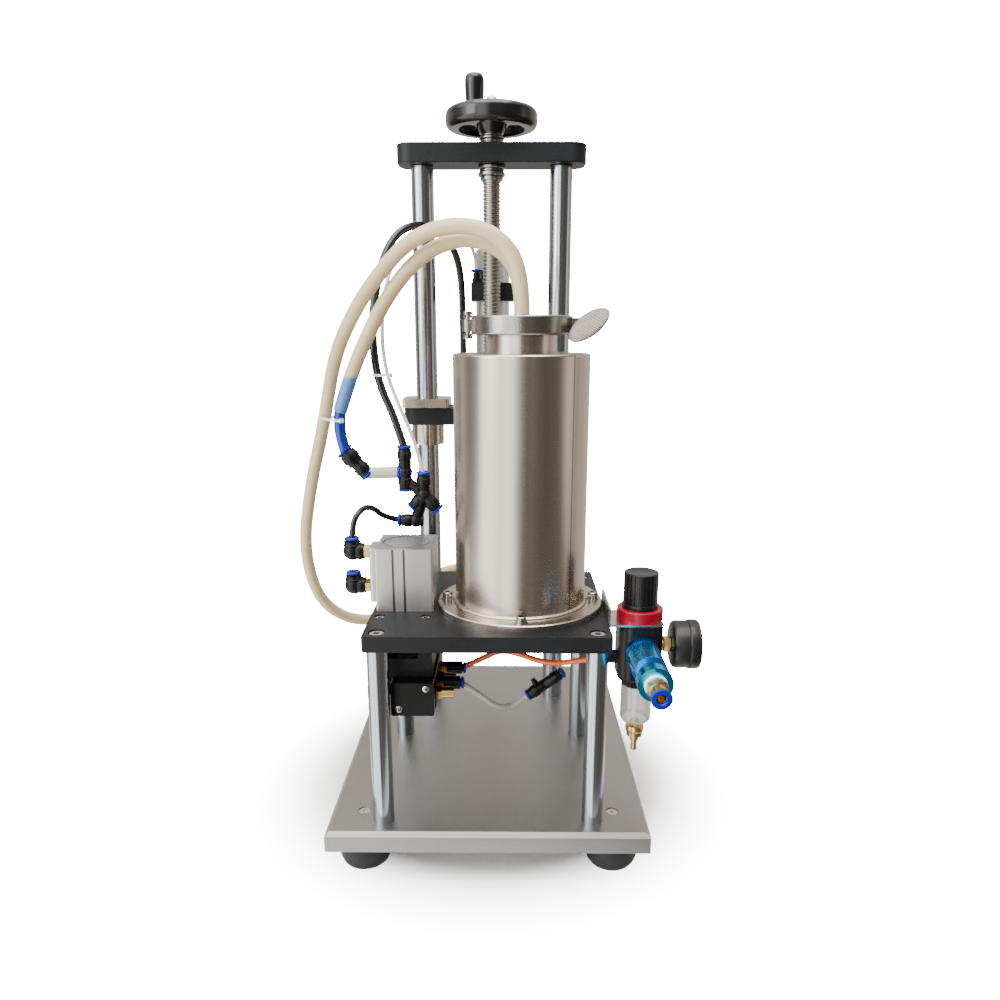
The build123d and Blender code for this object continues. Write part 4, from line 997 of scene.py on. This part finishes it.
def gauge_part(name, outline, back, steps):
    """A turned part of the gauge, on the axis that it and the regulator share."""
    return turned(name, outline, (back, regulator_at[1], gauge_z), to_gauge, steps)


gauge_case = gauge_part("gauge_case", [
    (0, 0), (0.019, 0), (0.0218, 0.0012), (0.0230, 0.0035), (0.0230, 0.0150), (0.0236, 0.0156),
    (0.0240, 0.0168), (0.0240, 0.0218), (0.0236, 0.0230), (0.0236, case_deep - 0.0012), (0.0226, case_deep),
    (0.0212, case_deep), (0.0208, case_deep - 0.0015), (0.0208, case_deep - 0.0052), (0, case_deep - 0.0052),
], case_back, 96)
fitted(gauge_case, black_paint, "root", "black_plastic", "gauge")
stem = joined("gauge_stem", [
    gauge_part("stem_hex", [
        (0, 0), (0.0070, 0), (0.0078, 0.0008), (0.0078, 0.0070), (0.0070, 0.0078), (0, 0.0078)], 0.1682, 6),
    gauge_part("stem_thread", [(0, 0), (0.0048, 0), (0.0048, 0.0075), (0, 0.0075)], 0.1640, 32),
])
fitted(stem, brass, "root", "brass")
dial_look = Finish("gauge_dial")
dial_spot = dial_look.spot()
dial_side = dial_spot["Y"] - regulator_at[1]
dial_rise = dial_spot["Z"] - gauge_z
dial_reach = (dial_side * dial_side + dial_rise * dial_rise).math("SQRT")
dial_turn = dial_side.math("ARCTAN2", dial_rise * -1) * (1 / (2 * math.pi)) + 0.5
tick = ((dial_turn * 40).math("FRACT") - 0.5).math("ABSOLUTE") > 0.38
scale_band = (dial_reach > 0.0148) * (dial_reach < 0.0178)
in_sweep = (dial_turn > 0.13) * (dial_turn < 0.87)
rim_line = (dial_reach > 0.0176) * (dial_reach < 0.0180) * in_sweep
dial_ink = (tick * scale_band * in_sweep + rim_line).clamp()
dial_tone = dial_look.mixed(dial_ink, (0.86, 0.86, 0.84), (0.02, 0.02, 0.02))
dial_look = dial_look.ends(Base_Color=dial_tone, Roughness=dial_look.noise(60) * 0.1 + 0.45)
dial = gauge_part("gauge_dial", [
    (0, 0), (0.0207, 0), (0.0207, 0.0006), (0.0016, 0.0006), (0.0016, 0.0004), (0, 0.0004),
], case_front - 0.0053, 64)
fitted(dial, dial_look, "root", "white_seal")
gauge_glass = gauge_part(
    "gauge_glass", [(0, 0), (0.0210, 0), (0.0210, 0.0008), (0, 0.0008)], case_front - 0.0016, 64)
fitted(gauge_glass, bowl_look, "root", "clear_bowl")
coat(red_plastic, "gauge_needle")

# The slide valve's sleeve has a knurled grip; white thread tape shows at the brass inlet.
sleeve_low, sleeve_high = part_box("slide_sleeve")
sleeve_long = sleeve_high.y - sleeve_low.y
grip = added(
    bpy.ops.mesh.primitive_cylinder_add, vertices=72, radius=0.0155, depth=sleeve_long,
    location=(0, 0, sleeve_long / 2), end_fill_type="NOTHING")
open_picked(grip, lambda number: number % 3 == 0)
bpy.ops.mesh.inset(thickness=0.00015, use_individual=True)
bpy.ops.transform.resize(value=(0.968, 0.968, 0.70), center_override=(0, 0, sleeve_long / 2))
bpy.ops.object.mode_set(mode="OBJECT")
bore = 0.01255
grip_near = turned("sleeve_near_end", [
    (bore, 0), (0.0150, 0), (0.0155, 0.0008), (0.0155, 0.0009), (bore, 0.0009), (bore, 0)], (0, 0, 0), steps=72)
grip_far = turned("sleeve_far_end", [
    (bore, sleeve_long - 0.0009), (0.0155, sleeve_long - 0.0009), (0.0155, sleeve_long - 0.0008),
    (0.0150, sleeve_long), (bore, sleeve_long), (bore, sleeve_long - 0.0009)], (0, 0, 0), steps=72)
sleeve = joined("knurled_sleeve", [grip, grip_near, grip_far])
sleeve_place = Matrix.Translation((regulator_at[0], sleeve_high.y, gauge_z))
sleeve.data.transform(sleeve_place @ Matrix.Rotation(math.radians(90), 4, "X"))
smoothed(sleeve, 25)
fitted(sleeve, blue_anodised, "slide_sleeve", "blue_anodised", "slide_sleeve")
tape = turned("thread_tape", [
    (0.0078, 0), (0.0100, 0), (0.0102, 0.0006), (0.0099, 0.0011), (0.0102, 0.0017), (0.0099, 0.0023),
    (0.0101, 0.0029), (0.0098, 0.0036), (0.0096, 0.0046), (0.0078, 0.0046), (0.0078, 0),
], (regulator_at[0], -0.2222, gauge_z), (0, -1, 0), 48)
fitted(tape, white_seal, "root", "white_seal")

# The bowl's drain is a stepped brass knob on a brass stem.
drain_low, drain_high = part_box("drain_valve")
drain_foot = (*regulator_at, drain_low.z)
drain_tall = drain_high.z - drain_low.z
drain = turned("drain_knob", [
    (0, 0), (0.0022, 0), (0.0030, 0.0008), (0.0030, 0.010), (0.0042, 0.0112), (0.0042, 0.0150),
    (0.0068, 0.0158), (0.0078, 0.0165), (0.0078, 0.0205), (0.0070, 0.0212), (0.0088, 0.0216),
    (0.0092, 0.0225), (0.0092, 0.0262), (0.0086, 0.0272), (0.0050, 0.0276), (0.0042, 0.0284),
    (0.0042, drain_tall), (0, drain_tall)], drain_foot, steps=40)
fitted(drain, brass, "drain_valve", "brass", "drain_valve")

# ---- Cable ties -------------------------------------------------------------------------------------
# White nylon ties hold the hoses together and the clear tube to the long black one.
tie_nylon = moulded("white_nylon", (0.72, 0.72, 0.70), (0.85, 0.85, 0.83), 0.4)


def tie(name, centre, turn, wide, deep):
    """A nylon band round a bundle, with its head: half widths across and deep."""
    half = 0.0012
    band = turned("band", [(1, -half), (1.07, -half), (1.07, half), (1, half), (1, -half)], (0, 0, 0), steps=48)
    band.data.transform(Matrix.Diagonal((wide, deep, 1, 1)))
    head = added(bpy.ops.mesh.primitive_cube_add, size=1, location=(wide + 0.0012, 0, 0))
    head.data.transform(Matrix.Diagonal((0.0032, 0.0046, 0.0042, 1)))
    bpy.ops.object.transform_apply(location=True)
    bpy.ops.object.mode_set(mode="EDIT")
    bpy.ops.mesh.select_all(action="SELECT")
    bpy.ops.mesh.bevel(offset=0.0006, segments=2, affect="EDGES")
    bpy.ops.object.mode_set(mode="OBJECT")
    piece = joined(name, [band, head])
    piece.data.transform(Matrix.Translation(centre) @ Matrix.Rotation(turn, 4, "Z"))
    smoothed(piece, 30)
    return fitted(piece, tie_nylon, "root", "white_seal")


tie("hose_tie", (-0.1645, -0.0175, 0.366), math.radians(-58), 0.0282, 0.0076)
tie("tube_tie", (-0.1085, -0.0325, 0.4105), math.radians(-28), 0.0098, 0.0046)
